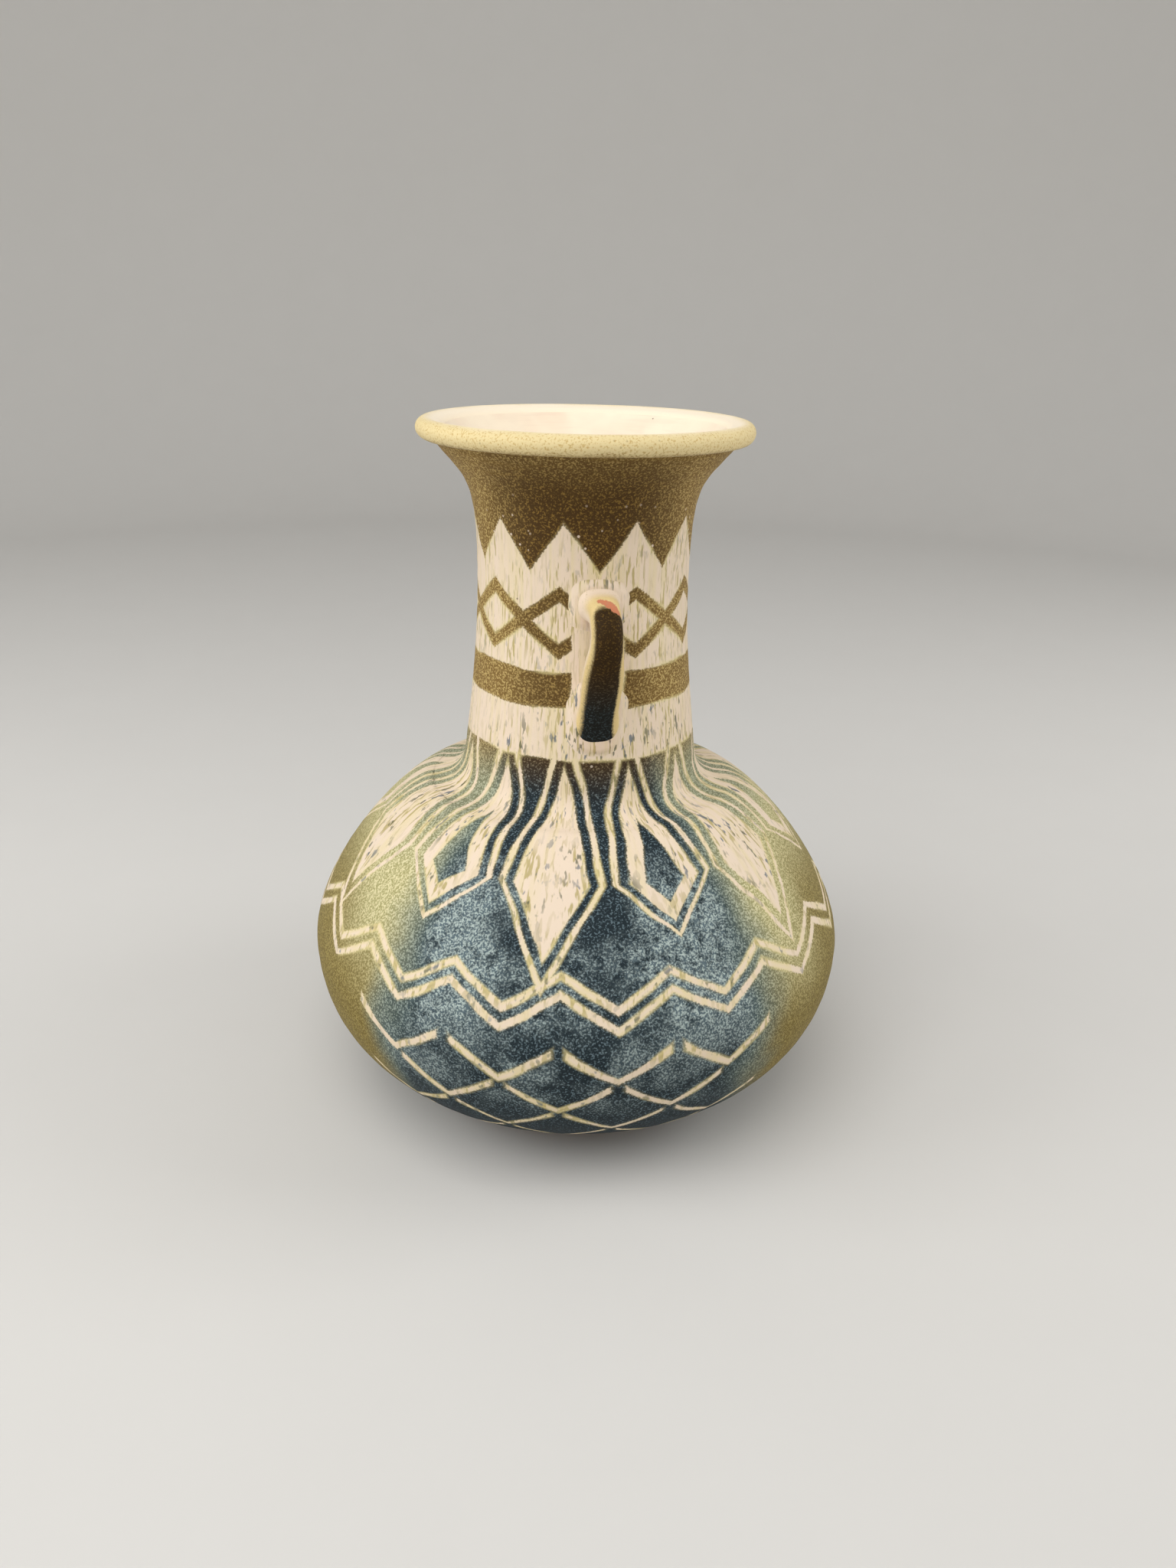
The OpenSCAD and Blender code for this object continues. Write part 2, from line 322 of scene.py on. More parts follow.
class Section:
    """The jug's section: one outside line from the foot to the mouth, and the inside lines."""

    def __init__(self, form):
        foot = Vector((form.foot_d / 2, form.foot_h))
        widest = Vector((form.belly_d / 2, form.widest_z))
        self.seat_outer = Vector((form.neck_root_d / 2, form.seat_z))
        self.seat_inner = self.seat_outer - Vector((form.wall, form.seat_drop))
        inward = math.pi - form.shoulder
        lean = UP + form.neck_lean
        coil_out = self.seat_outer + form.coil * direction(-form.shoulder)
        coil_up = self.seat_outer + form.coil * direction(lean)
        waist = Vector((form.waist_d / 2, form.waist_z))
        roll_r = form.lip_t / 2
        roll = Vector((form.lip_d / 2 - roll_r, form.top_z - roll_r))
        flare_end = roll + roll_r * direction(ROLL_MEET)
        lip_inner = flare_end + form.wall * direction(form.flare + UP)
        roll_step = (ROLL_LEAVE - ROLL_MEET) / SHORT_STEPS
        arc = [roll + roll_r * direction(ROLL_MEET + roll_step * i) for i in range(SHORT_STEPS + 1)]
        belly = curve(foot, form.underside, widest, UP, UNDERSIDE_SHARES)
        belly += curve(widest, UP, coil_out, inward, SHOULDER_SHARES)[1:]
        joint = curve(coil_out, inward, coil_up, lean, BLEND_SHARES, SHORT_STEPS)[1:]
        neck = curve(coil_up, lean, waist, UP, NECK_SHARES)[1:]
        neck += curve(waist, UP, flare_end, form.flare, FLARE_SHARES)[1:]
        down_flare = form.flare + math.pi
        inner = curve(arc[-1], ROLL_LEAVE + UP, lip_inner, down_flare, BLEND_SHARES, SHORT_STEPS)
        lip = arc[1:] + inner[1:]
        line = spots(belly + joint + neck + lip, -1)
        belly_end = len(belly)
        joint_end = belly_end + len(joint)
        neck_end = joint_end + len(neck)
        self.belly = line[:belly_end]
        self.joint = line[belly_end - 1 : joint_end]
        self.neck = line[joint_end - 1 : neck_end]
        self.lip = line[neck_end - 1 :]
        self.draw_inside(form, belly, [coil_up] + neck, inward)

    def draw_inside(self, form, belly, neck, inward):
        """Inside lines of the belly and the neck, from the middle of the floor to the lip."""
        floor_z = form.foot_h + form.floor_t
        wall = [p for p in moved(belly + [self.seat_outer], form.wall) if p.y > floor_z]
        rest = curve(wall[-1], inward, self.seat_inner, UP, BLEND_SHARES, SHORT_STEPS)[1:]
        self.belly_inside = [Vector((0, floor_z))] + wall + rest
        self.neck_inside = [self.seat_inner] + moved([self.seat_outer] + neck, form.wall)[1:]

    def neck_r(self, z):
        """Outside radius of the neck at a height."""
        line = self.neck
        for low, high in zip(line, line[1:]):
            if low.point.y <= z <= high.point.y:
                share = (z - low.point.y) / (high.point.y - low.point.y)
                return low.point.x + share * (high.point.x - low.point.x)
        return line[0].point.x if z < line[0].point.y else line[-1].point.x


# Soft lumps of the thrown wall and the spiral that the potter's fingers leave, as half heights
LUMP = 0.10 * MM
LUMP_SIZE = 26 * MM
SPIRAL = 0.025 * MM
SPIRAL_STEP = 5.2 * MM
# Over this length the relief fades in above the foot and out at the inside of the lip
RELIEF_FADE = 4 * MM
# The glaze inside evens the wall out to this share of its relief
LINING_RELIEF = 0.6


def relief(point, rise, turn):
    """How far the thrown wall stands out of its true section."""
    lumps = noise.noise(point / LUMP_SIZE)
    spiral = math.sin(math.tau * rise / SPIRAL_STEP - turn)
    return LUMP * lumps + SPIRAL * spiral * (1 + noise.noise(point / LUMP_SIZE * 2))


def faded(spot, distance, share=1.0):
    """A spot whose relief fades out over a distance from the end of its line."""
    return spot._replace(relief=share * eased(distance / RELIEF_FADE))


def ring(spot, facets, first):
    """Corners of one turned ring, and their numbers for each facet. A ring on the axis is one corner."""
    if spot.point.x < HAIR:
        return [(0.0, 0.0, spot.point.y)], [first] * facets
    corners = []
    for j in range(facets):
        turn = math.tau * j / facets
        around = Vector((math.sin(turn), -math.cos(turn), 0))
        place = spot.point.x * around + Vector((0, 0, spot.point.y))
        if spot.relief:
            out = spot.relief * relief(place, spot.rise, turn)
            place += out * (spot.normal.x * around + Vector((0, 0, spot.normal.y)))
        corners.append(tuple(place))
    return corners, list(range(first, first + facets))


# Share of a hidden face on the bake map, against a face that shows
HIDDEN_SHARE = 0.12
# Edges that turn by more than this stay sharp
SHARP = math.radians(40)


def turned(name, section, facets):
    """Closed mesh of a section turned round the axis, with the height along the wall as an attribute."""
    closing = section[1:] + section[:1]
    area = sum(a.point.x * b.point.y - b.point.x * a.point.y for a, b in zip(section, closing))
    if area < 0:
        section = section[::-1]
    corners, rings, rises, heights = [], [], [], [0.0]
    for i, spot in enumerate(section):
        added, numbers = ring(spot, facets, len(corners))
        corners += added
        rises += [spot.rise * PER_METRE] * len(added)
        rings.append(numbers)
        after = section[(i + 1) % len(section)]
        shows = HIDDEN_SHARE if 0.0 in (spot.relief, after.relief) else 1.0
        heights.append(heights[-1] + shows * (after.point - spot.point).length)
    on_axis = section[0].point.x < HAIR and section[-1].point.x < HAIR
    spans = len(section) - 1 if on_axis else len(section)
    faces, map_places = [], []
    for i in range(spans):
        low, high = rings[i], rings[(i + 1) % len(section)]
        v_low, v_high = heights[i] / heights[spans], heights[i + 1] / heights[spans]
        for j in range(facets):
            k = (j + 1) % facets
            u_here, u_next = j / facets, (j + 1) / facets
            face = [(low[j], u_here, v_low), (low[k], u_next, v_low)]
            face += [(high[k], u_next, v_high), (high[j], u_here, v_high)]
            if low[j] == low[k]:
                face.pop(1)
            if high[j] == high[k]:
                face.pop()
            faces.append([corner for corner, _, _ in face])
            map_places += [share for _, u, v in face for share in (u, v)]
    return shaped(name, corners, faces, {"rise": rises}, map_places)


def shaped(name, corners, faces, attributes, map_places=None):
    """A smooth mesh piece with its point attributes and, where given, its bake map."""
    mesh = bpy.data.meshes.new(name)
    mesh.from_pydata(corners, [], faces)
    for key, values in attributes.items():
        mesh.attributes.new(key, "FLOAT", "POINT").data.foreach_set("value", values)
    if map_places:
        mesh.uv_layers.new(name="OFBake").data.foreach_set("uv", map_places)
    mesh.shade_smooth()
    mesh.set_sharp_from_angle(angle=SHARP)
    mesh.validate()
    piece = bpy.data.objects.new(name, mesh)
    bpy.context.scene.collection.objects.link(piece)
    return piece


def fitted(piece, node, finish):
    """Puts a made piece in the place of its CAD node, in its material."""
    piece.data.materials.append(finish.material)
    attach(piece, BODY)
    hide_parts(node)


class Value:
    """One output in a material. Arithmetic on it adds the Math nodes."""

    def __init__(self, finish, socket):
        self.finish = finish
        self.socket = socket

    def output(self, name):
        """Another output of the same node."""
        return Value(self.finish, self.socket.node.outputs[name])

    def maths(self, operation, *others):
        """The Math node of this value and others."""
        sockets = dict(enumerate((self, *others)))
        return self.finish.node("ShaderNodeMath", {"operation": operation}, sockets)

    def __add__(self, other):
        return self.maths("ADD", other)

    def __sub__(self, other):
        return self.maths("SUBTRACT", other)

    def __rsub__(self, other):
        return self * -1 + other

    def __mul__(self, other):
        return self.maths("MULTIPLY", other)

    def __truediv__(self, other):
        return self.maths("DIVIDE", other)

    def __rtruediv__(self, other):
        return self.maths("POWER", -1) * other

    def __neg__(self):
        return self * -1

    def __abs__(self):
        return self.maths("ABSOLUTE")

    __radd__ = __add__
    __rmul__ = __mul__

    def step(self, low, high, full=1.0, before=0.0):
        """A soft step, from one share before low to the full one past high. low may be the larger."""
        sockets = {"Value": self, "From Min": low, "From Max": high, "To Min": before, "To Max": full}
        return self.finish.node("ShaderNodeMapRange", {"interpolation_type": "SMOOTHSTEP"}, sockets)


def least(first, *others):
    """The smallest of several values."""
    for other in others:
        first = first.maths("MINIMUM", other)
    return first


def most(first, *others):
    """The largest of several values."""
    for other in others:
        first = first.maths("MAXIMUM", other)
    return first


class Finish:
    """A material whose nodes are written as expressions, with coordinates in millimetres."""

    def __init__(self, name):
        self.material = bpy.data.materials.new(name)
        self.material.use_nodes = True
        self.tree = self.material.node_tree
        self.tree.nodes.clear()
        metres = self.node("ShaderNodeTexCoord", output="Object")
        self.point = self.vector("SCALE", metres, Scale=PER_METRE)
        self.x, self.y, self.z = self.split(self.point)

    def node(self, kind, settings=None, sockets=None, output=0):
        """Adds a node, sets its settings and then its sockets, and returns one of its outputs."""
        made = self.tree.nodes.new(kind)
        for key, value in (settings or {}).items():
            setattr(made, key, value)
        for key, value in (sockets or {}).items():
            if isinstance(value, Value):
                self.tree.links.new(value.socket, made.inputs[key])
            else:
                made.inputs[key].default_value = value
        return Value(self, made.outputs[output]) if made.outputs else None

    def vector(self, operation, *terms, **named):
        """Vector Math on vectors."""
        sockets = {**dict(enumerate(terms)), **named}
        return self.node("ShaderNodeVectorMath", {"operation": operation}, sockets)

    def joined(self, x, y, z):
        """A vector from three numbers."""
        return self.node("ShaderNodeCombineXYZ", sockets={0: x, 1: y, 2: z})

    def split(self, vector):
        """The three numbers of a vector or a colour."""
        parts = self.node("ShaderNodeSeparateXYZ", sockets={0: vector})
        return [parts.output(axis) for axis in "XYZ"]

    def noise(self, size, detail=1.0, roughness=0.5, point=None):
        """Soft noise from 0 to 1 with lumps of about this size in millimetres."""
        sockets = {"Vector": point or self.point, "Scale": 1 / size, "Detail": detail, "Roughness": roughness}
        return self.node("ShaderNodeTexNoise", sockets=sockets)

    def attribute(self, name):
        """A number that the mesh keeps at each of its points."""
        return self.node("ShaderNodeAttribute", {"attribute_name": name}, output="Fac")

    def mix(self, share, base, over):
        """Colour over, laid on base by a share from 0 to 1."""
        return self.node("ShaderNodeMix", {"data_type": "RGBA"}, {0: share, 6: base, 7: over}, output=2)

    def skin(self, tone, grain, height, smooth, rougher, depth, shine=0.22):
        """Ends the material: a colour, a roughness that follows a grain, and a relief of this depth."""
        bump = self.node("ShaderNodeBump", sockets={"Distance": depth * MM, "Height": height})
        sockets = {
            "Base Color": tone,
            "Roughness": smooth + rougher * grain,
            "Normal": bump,
            "Specular IOR Level": shine,
        }
        surface = self.node("ShaderNodeBsdfPrincipled", sockets=sockets)
        self.node("ShaderNodeOutputMaterial", sockets={"Surface": surface})


# Sizes in millimetres of what the glaze shows: sprayed grains, the waver of a drawn edge, clouds
# and haze in the blue, and streaks of the turning, whose stretch is their width against their length
GRAIN = 0.55
WAVER_SIZE = 13
WAVER = 2.2
CLOUD_SIZE = 3.4
HAZE_SIZE = 9
SOFT_SIZE = 30
TURNED_WIDTH = 1.6
TURNED_STRETCH = 0.1
# Radius at which brush strokes are drawn at their true width
BRUSH_R = 42
# How far to the left of the handle the sprayed fields are centred
FIELD_TURN = math.radians(8)
# A painted edge: its soft part, its roughness, and how much of the waver swells the shape
EDGE_SOFT = 0.22
EDGE_ROUGH = 1.1
EDGE_SWELL = 0.35
# Specks: how softly their places are chosen, and between which shares of its size a speck fades out
CHOICE_SOFT = 0.02
SPECK_SHARES = (0.5, 0.3)


class PaintedFinish(Finish):
    """A finish that knows its place on the jug: angle from the handle, radius and height along the wall."""

    def __init__(self, name, scene):
        super().__init__(name)
        self.glazes = scene.jug_glazes
        self.painting = scene.jug_painting
        self.angle = self.x.maths("ARCTAN2", -self.y)
        self.radius = (self.x * self.x + self.y * self.y).maths("SQRT")
        self.facing = self.facing_at(self.angle)
        self.rise = self.attribute("rise")
        self.grain = self.noise(GRAIN, detail=2, roughness=0.6)
        up, aside, self.patch = self.split(self.noise(WAVER_SIZE).output("Color"))
        self.drawn_rise = self.rise + WAVER * (up - 0.5)
        self.drift = WAVER * (aside - 0.5)

    def facing_at(self, angle):
        """How far an angle lies towards the middle of the front or back fields, from 0 to 1."""
        return abs((angle + FIELD_TURN).maths("COSINE"))

    def around(self, times, shift=0.0):
        """Cells that repeat a number of times round the jug: the place in a cell from -0.5 to 0.5."""
        return (self.angle * (times / math.tau) + shift).maths("WRAP", 0.5, -0.5)

    def across(self, cell, times):
        """Distance in millimetres from the middle line of a cell."""
        return abs(cell * self.radius * (math.tau / times) + self.drift)

    def strokes(self, width, stretch, detail=2.0, roughness=0.5):
        """Noise from 0 to 1 in brush strokes down the wall. stretch is their width against their length."""
        scale = BRUSH_R / self.radius
        point = self.joined(self.x * scale, self.y * scale, self.rise * stretch)
        return self.noise(width, detail, roughness, point)

    def turning_marks(self):
        """Faint streaks that run round the jug, as noise from 0 to 1."""
        point = self.joined(self.x * TURNED_STRETCH, self.y * TURNED_STRETCH, self.rise)
        return self.noise(TURNED_WIDTH, detail=2, point=point)

    def specks(self, spacing, size, share, cover=1.0):
        """Round specks of a size at about this spacing, both in millimetres. share of the places hold one."""
        sockets = {"Vector": self.point, "Scale": 1 / spacing}
        cells = self.node("ShaderNodeTexVoronoi", {"feature": "F1"}, sockets)
        chosen = self.split(cells.output("Color"))[0].step(share, share - CHOICE_SOFT)
        outer, inner = (part * size / spacing for part in SPECK_SHARES)
        return cells.step(outer, inner, cover) * chosen

    def painted(self, distance):
        """1 inside a painted shape whose distance is positive there, with the rough edge of a dry glaze."""
        swelling = EDGE_SWELL * self.drift + EDGE_ROUGH * (self.grain - 0.5)
        return (distance + swelling).step(-EDGE_SOFT, EDGE_SOFT)

    def sprayed(self, base, grains, low, high):
        """Two glazes sprayed in fine grains."""
        return self.mix(self.grain.step(low, high), base, grains)


# Radius of the neck at the teeth
TEETH_R = 30.5
# What turns a distance along the wall into one square to a slanting line
CHAIN_SLANT = 0.8
ZIGZAG_SLANT = 0.85
CHEVRON_SLANT = 0.8
# As shares of a line's width: half the line round the kites, and from the zigzag's middle to its lines
OUTLINE_SHARE = 0.4
ZIGZAG_SHARE = 1.4
# Chevrons: height in rows, half width in cells, how much thinner each row is than the last, how
# nearly they face the middle of a field at least, and how sharply they end at their width and there
CHEVRON_HEIGHT = 0.9
CHEVRON_WIDTH = 0.44
CHEVRON_THINS = 0.12
CHEVRON_FACES = 0.78
CHEVRON_ENDS = 20
CHEVRON_STOPS = 40
# How many times the usual drift the edges of the wiped slip wander
WIPE_DRIFTS = 2


def mm(value):
    """A length of the add-on's settings in millimetres, as the materials use it."""
    return value * PER_METRE


def between(finish, low, high):
    """Distance inside a plain band."""
    return least(finish.drawn_rise - mm(low), mm(high) - finish.drawn_rise)


def teeth(finish):
    """Distance below the toothed edge of the brown flare."""
    paint = finish.painting
    low, high = mm(paint.tooth_low), mm(paint.tooth_high)
    edge = low + (high - low) * 2 * abs(finish.around(paint.teeth))
    half_tooth = math.pi * TEETH_R / paint.teeth
    return (edge - finish.drawn_rise) * (1 / math.hypot(1, (high - low) / half_tooth))


def chain(finish):
    """Distance inside the brown lines of a chain of lozenges round the neck."""
    paint = finish.painting
    swing = mm(paint.chain_h) / 2 * (1 - 4 * abs(abs(finish.around(paint.lozenges / 2)) - 0.25))
    off = abs(abs(finish.drawn_rise - mm(paint.chain_mid)) - abs(swing))
    return mm(paint.chain_line) / 2 - CHAIN_SLANT * off


def kite(finish, shift, low):
    """Distance inside one ring of kites that hang from the neck over the shoulder."""
    paint = finish.painting
    top, wide, low = mm(paint.kite_top), mm(paint.kite_wide), mm(low)
    upper = (top - finish.drawn_rise) / (top - wide)
    lower = (finish.drawn_rise - low) / (wide - low)
    across = finish.across(finish.around(paint.kites, shift), paint.kites)
    return mm(paint.kite_w) / 2 * least(upper, lower) - across


def kites(finish):
    """Distance inside long kites, short kites with a blue heart between them, and the line round them all."""
    paint = finish.painting
    long = kite(finish, 0.25, paint.kite_low)
    short = kite(finish, 0.75, paint.kite_high)
    outline = OUTLINE_SHARE * mm(paint.line) - abs(most(long, short) + mm(paint.kite_gap))
    return most(long, least(short, mm(paint.kite_rim) - short), outline)


def zigzag(finish):
    """Distance inside the double zigzag line round the belly."""
    paint = finish.painting
    line = mm(paint.line)
    swing = mm(paint.zigzag_h) * (2 * abs(finish.around(paint.zigzags)) - 0.5)
    off = abs(finish.drawn_rise - mm(paint.zigzag_mid) - swing)
    return line / 2 - ZIGZAG_SLANT * abs(off - ZIGZAG_SHARE * line)


def chevrons(finish):
    """Distance inside the rows of chevrons at the front and back, bricked and thinner towards the foot."""
    paint = finish.painting
    step = mm(paint.chevron_step)
    rows = []
    for i in range(paint.rows):
        place = finish.around(paint.zigzags, 0.5 * (i % 2))
        facing = finish.facing_at(finish.angle - place * (math.tau / paint.zigzags))
        cell = abs(place)
        tips = mm(paint.chevron_top) - i * step
        off = abs(finish.drawn_rise - tips + CHEVRON_HEIGHT * step * (1 - 2 * cell))
        drawn = mm(paint.line) / 2 * (1 - CHEVRON_THINS * i) - CHEVRON_SLANT * off
        ends = CHEVRON_ENDS * (CHEVRON_WIDTH - cell)
        rows.append(least(drawn, ends, CHEVRON_STOPS * (facing - CHEVRON_FACES)))
    return most(*rows)


def wiped_slip(finish):
    """Distance inside the pale slip wiped round the handle and down the neck behind it."""
    paint = finish.painting
    across = mm(paint.wipe_w) / 2 - abs(finish.x + WIPE_DRIFTS * finish.drift)
    return least(across, between(finish, paint.collar_low, paint.wipe_top), -finish.y)


# Steps are written as where they begin and end, then, where these aren't 1 and 0, as the share at
# their end and the share before them. Specks are written as spacing, size, share of the places
# that hold one, and cover. Strokes are written as width, stretch, detail and roughness.
# Cream slip: streaks, hatching, dabs and their hue, as strokes and as steps of their noise
STREAKS = (1.8, 0.04, 1)
STREAKS_SHOW = (0.42, 0.72, 0.4)
HATCHING = (0.9, 0.16)
HATCHING_SHOWS = (0.54, 0.62, 0.75)
HATCHING_PATCHES = (0.38, 0.56, 1.0, 0.25)
DABS = (1.62, 0.36, 2, 0.65)
DABS_SHOW = (0.575, 0.65, 0.8)
DABS_PATCHES = (0.38, 0.56, 1.0, 0.15)
DABS_WET = (176, 160, 1.0, 0.35)
HUES = (7, 0.5, 0)
HUES_BLUE = (0.60, 0.68)
BLUE_WEIGHT = 0.2
CREAM_PITS = (7, 0.7, 0.3, 0.7)


def cream_slip(finish, blue):
    """Brushed cream slip with the dashes of colour that the brush left. blue is the share of blue dashes."""
    glazes = finish.glazes
    slip = finish.mix(finish.strokes(*STREAKS).step(*STREAKS_SHOW), glazes.cream, glazes.cream_warm)
    hatching = finish.strokes(*HATCHING).step(*HATCHING_SHOWS) * finish.patch.step(*HATCHING_PATCHES)
    slip = finish.mix(hatching, slip, glazes.dash_olive)
    hue = (finish.strokes(*HUES) + BLUE_WEIGHT * blue).step(*HUES_BLUE)
    dabs = finish.strokes(*DABS).step(*DABS_SHOW) * finish.patch.step(*DABS_PATCHES)
    dark = finish.mix(hue, glazes.dash_dark, glazes.dash_blue)
    slip = finish.mix(dabs * finish.rise.step(*DABS_WET), slip, dark)
    return finish.mix(finish.specks(*CREAM_PITS), slip, glazes.pinhole)


# Steps of the grain noise in each sprayed glaze
SPRAYS = {
    "navy": (0.52, 0.64),
    "teal": (0.46, 0.60),
    "olive": (0.44, 0.60),
    "pale": (0.42, 0.60),
    "brown": (0.50, 0.66),
    "umber": (0.46, 0.62),
}
MIST = (0.42, 0.62)
# Steps by facing: 1 in the middle of the front and back fields, 0 at the sides
SOFT_FACING = 0.2
FRONT = (0.76, 0.87)
BESIDE_OUTER = (0.78, 0.86)
BESIDE_INNER = (0.985, 0.95)
SIDES = (0.83, 0.68)
GOLD_SIDES = (0.62, 0.34, 0.85)
# Painted light: the flare is lighter umber at its sides
FLARE_SIDES_PAINTED_LIGHT = (0.96, 0.50)
# Painted light: the bands are lighter umber at their sides
BAND_SIDES_PAINTED_LIGHT = (0.99, 0.70)
# Steps by height along the wall, each with a last number for how far its border wanders. What is
# over something begins above it, and what is under something ends below it
# Painted shade: below these two heights the navy loses its light grains and the teal turns navy, so the lower
# belly darkens towards the foot
NAVY_PAINTED_SHADE = (52, 24, 0.75)
TEAL_PAINTED_SHADE = (60, 28, 0.7)
CLOUDS_OVER = (54, 78)
CLOUDS_UNDER = (122, 104)
HAZE_OVER = (40, 60)
HAZE_UNDER = (96, 80)
# Painted shade: below this height the sides give way to the dark navy field, down to the foot
SIDES_OVER = (18, 46, 1.0, 20)
# Pale olive above, darker olive below: partly the glazes' own colours, partly painted shade towards the
# bottom
PALE_OVER = (58, 100, 1.0, 24)
TEAL_OVER = (104, 126, 0.6, 24)
GOLD_UNDER = (118, 84)
NECK_OVER = (136, 156, 1.0, 15)
BANDS_OVER = (154, 160)
BANDS_UNDER = (200, 196)
SPECKS_UNDER = (224, 206)
MARKS_OVER = (214, 236)
# Painted light towards the top of the flare
FLARE_TOP_PAINTED_LIGHT = (216, 240, 0.7, 16)
# Steps of the noise in the clouds, the haze and the turning marks of the flare, and its specks
CLOUDS = (0.32, 0.60, 0.85)
CLOUDS_SOFT = 0.3
HAZE = (0.40, 0.72, 0.5)
MARKS = (0.45, 0.68, 0.4)
FLARE_SPECKS = (2.0, 0.9, 0.26, 0.8)
# Share of umber that the painted light gives the flare, and of brown at the front of the bands
FLARE_PAINTED_LIGHT_UMBER = 0.95
BAND_BROWN = 0.7


def glaze_fields(finish):
    """Sprayed glazes under the design: navy at the front and back with clouded blue beside it, pale
    green and olive at the sides, brown above. Painted light makes the flare and the bands lighter at
    their sides and the flare at its top, and painted shade darkens the belly towards the foot."""
    glazes = finish.glazes
    soft = finish.noise(SOFT_SIZE, detail=2) - 0.5
    facing = finish.facing + SOFT_FACING * soft

    def up(low, high, full=1.0, wander=0.0):
        """A step by height along the wall."""
        return (finish.rise + wander * soft).step(low, high, full)

    navy, teal, olive, pale, brown, umber = (
        finish.sprayed(getattr(glazes, name), getattr(glazes, name + "_grain"), *grains)
        for name, grains in SPRAYS.items()
    )
    # Painted shade: the navy and the teal darken towards the foot
    navy = finish.mix(up(*NAVY_PAINTED_SHADE), navy, glazes.navy)
    teal = finish.mix(up(*TEAL_PAINTED_SHADE), teal, glazes.navy)
    clouds = (finish.noise(CLOUD_SIZE, detail=4, roughness=0.75) + CLOUDS_SOFT * soft).step(*CLOUDS)
    clouds = clouds * facing.step(*BESIDE_OUTER) * facing.step(*BESIDE_INNER)
    clouds = clouds * up(*CLOUDS_OVER) * up(*CLOUDS_UNDER)
    haze = (finish.noise(HAZE_SIZE, detail=3) + soft).step(*HAZE) * up(*HAZE_OVER) * up(*HAZE_UNDER)
    misty = finish.sprayed(glazes.navy_grain, glazes.cloud, *MIST)
    field = finish.mix(facing.step(*FRONT), teal, finish.mix(most(clouds, haze), navy, misty))
    # Pale olive over olive on the sides, and olive again low at the sides: the glazes' colours, darker
    # towards the bottom partly with painted shade
    sides = finish.mix(up(*PALE_OVER), olive, pale)
    sides = finish.mix(up(*TEAL_OVER), sides, teal)
    sides = finish.mix(facing.step(*GOLD_SIDES) * up(*GOLD_UNDER), sides, olive)
    # Painted shade: low on the belly the sides give way to the dark field, down to the foot
    field = finish.mix(facing.step(*SIDES) * up(*SIDES_OVER), field, sides)
    # Painted light: the flare turns lighter umber at its sides and towards its top
    flare_painted_light = least(facing.step(*FLARE_SIDES_PAINTED_LIGHT) + up(*FLARE_TOP_PAINTED_LIGHT), 1.0)
    flare = finish.mix(flare_painted_light * FLARE_PAINTED_LIGHT_UMBER, brown, umber)
    marks = finish.turning_marks().step(*MARKS) * up(*MARKS_OVER)
    flare = finish.mix(marks, flare, glazes.brown_grain)
    flare = finish.mix(finish.specks(*FLARE_SPECKS) * up(*SPECKS_UNDER), flare, glazes.cream)
    # Painted light: the bands are umber at their sides, darker with brown towards the front and back
    bands = finish.mix(facing.step(*BAND_SIDES_PAINTED_LIGHT), finish.mix(BAND_BROWN, umber, brown), umber)
    upper = finish.mix(up(*BANDS_UNDER) * up(*BANDS_OVER), flare, bands)
    return finish.mix(up(*NECK_OVER), field, upper)


# Skins: roughness of the smooth parts, how much rougher the grains are, depth of the relief in
# millimetres and, where it isn't the usual one, the strength of the shine
PAINTED_SKIN = (0.66, 0.10, 0.10)
LIP_SKIN = (0.58, 0.12, 0.08)
LINING_SKIN = (0.42, 0.10, 0.03, 0.45)
CLAY_SKIN = (0.80, 0.10, 0.12)
STRAP_SKIN = (0.60, 0.20, 0.09, 0.14)
SLIP_SKIN = (0.60, 0.10, 0.08)
FLOOR_SKIN = (0.80, 0.10, 0.05, 0.20)
# Tinge along the edges of the cream, by the distance inside the cream, and its patches
TINGE_OUTER = (-0.8, 0.0)
TINGE_INNER = (1.0, 0.1, 0.5)
TINGE_PATCHES = (0.45, 0.60, 1.0, 0.25)
# How far the cream lies above the sprayed glazes, and how much of their grain it hides
CREAM_HEIGHT = 0.5
CREAM_HIDES = 0.45


def painted_skin(finish, cream, blue, bare=0.0):
    """The sprayed glazes with the cream design on them, its tinged edges, grain and relief. cream is
    the distance inside the design, and bare is the share of clay that shows."""
    glazes = finish.glazes
    mask = finish.painted(cream)
    tinge = cream.step(*TINGE_OUTER) * cream.step(*TINGE_INNER) * finish.patch.step(*TINGE_PATCHES)
    tone = finish.mix(mask, glaze_fields(finish), cream_slip(finish, blue))
    tone = finish.mix(tinge, tone, glazes.cream_warm)
    tone = finish.mix(bare, tone, glazes.clay)
    height = finish.grain * (1 - CREAM_HIDES * mask) + CREAM_HEIGHT * mask
    finish.skin(tone, finish.grain - mask, height, *PAINTED_SKIN)


# Share of blue dashes in the cream of the belly and of the neck, and on the slip of the handle
BELLY_BLUE = 0.5
NECK_BLUE = 0.35
SLIP_BLUE = 0.3
# The glaze ends at this height along the wall, above the foot, and the design with it
BARE_BELOW = (1.6, 0.8)
BARE_CUT = 30


def belly_finish(scene):
    """The painting of the belly, with bare clay inside the foot ring."""
    finish = PaintedFinish("painted_belly", scene)
    bare = finish.rise.step(*BARE_BELOW)
    cream = least(most(kites(finish), zigzag(finish), chevrons(finish)), BARE_CUT * (0.5 - bare))
    painted_skin(finish, cream, BELLY_BLUE, bare)
    return finish


def joint_finish(scene):
    """The kites where they cross the smoothed coil."""
    finish = PaintedFinish("painted_joint", scene)
    painted_skin(finish, kites(finish), BELLY_BLUE)
    return finish


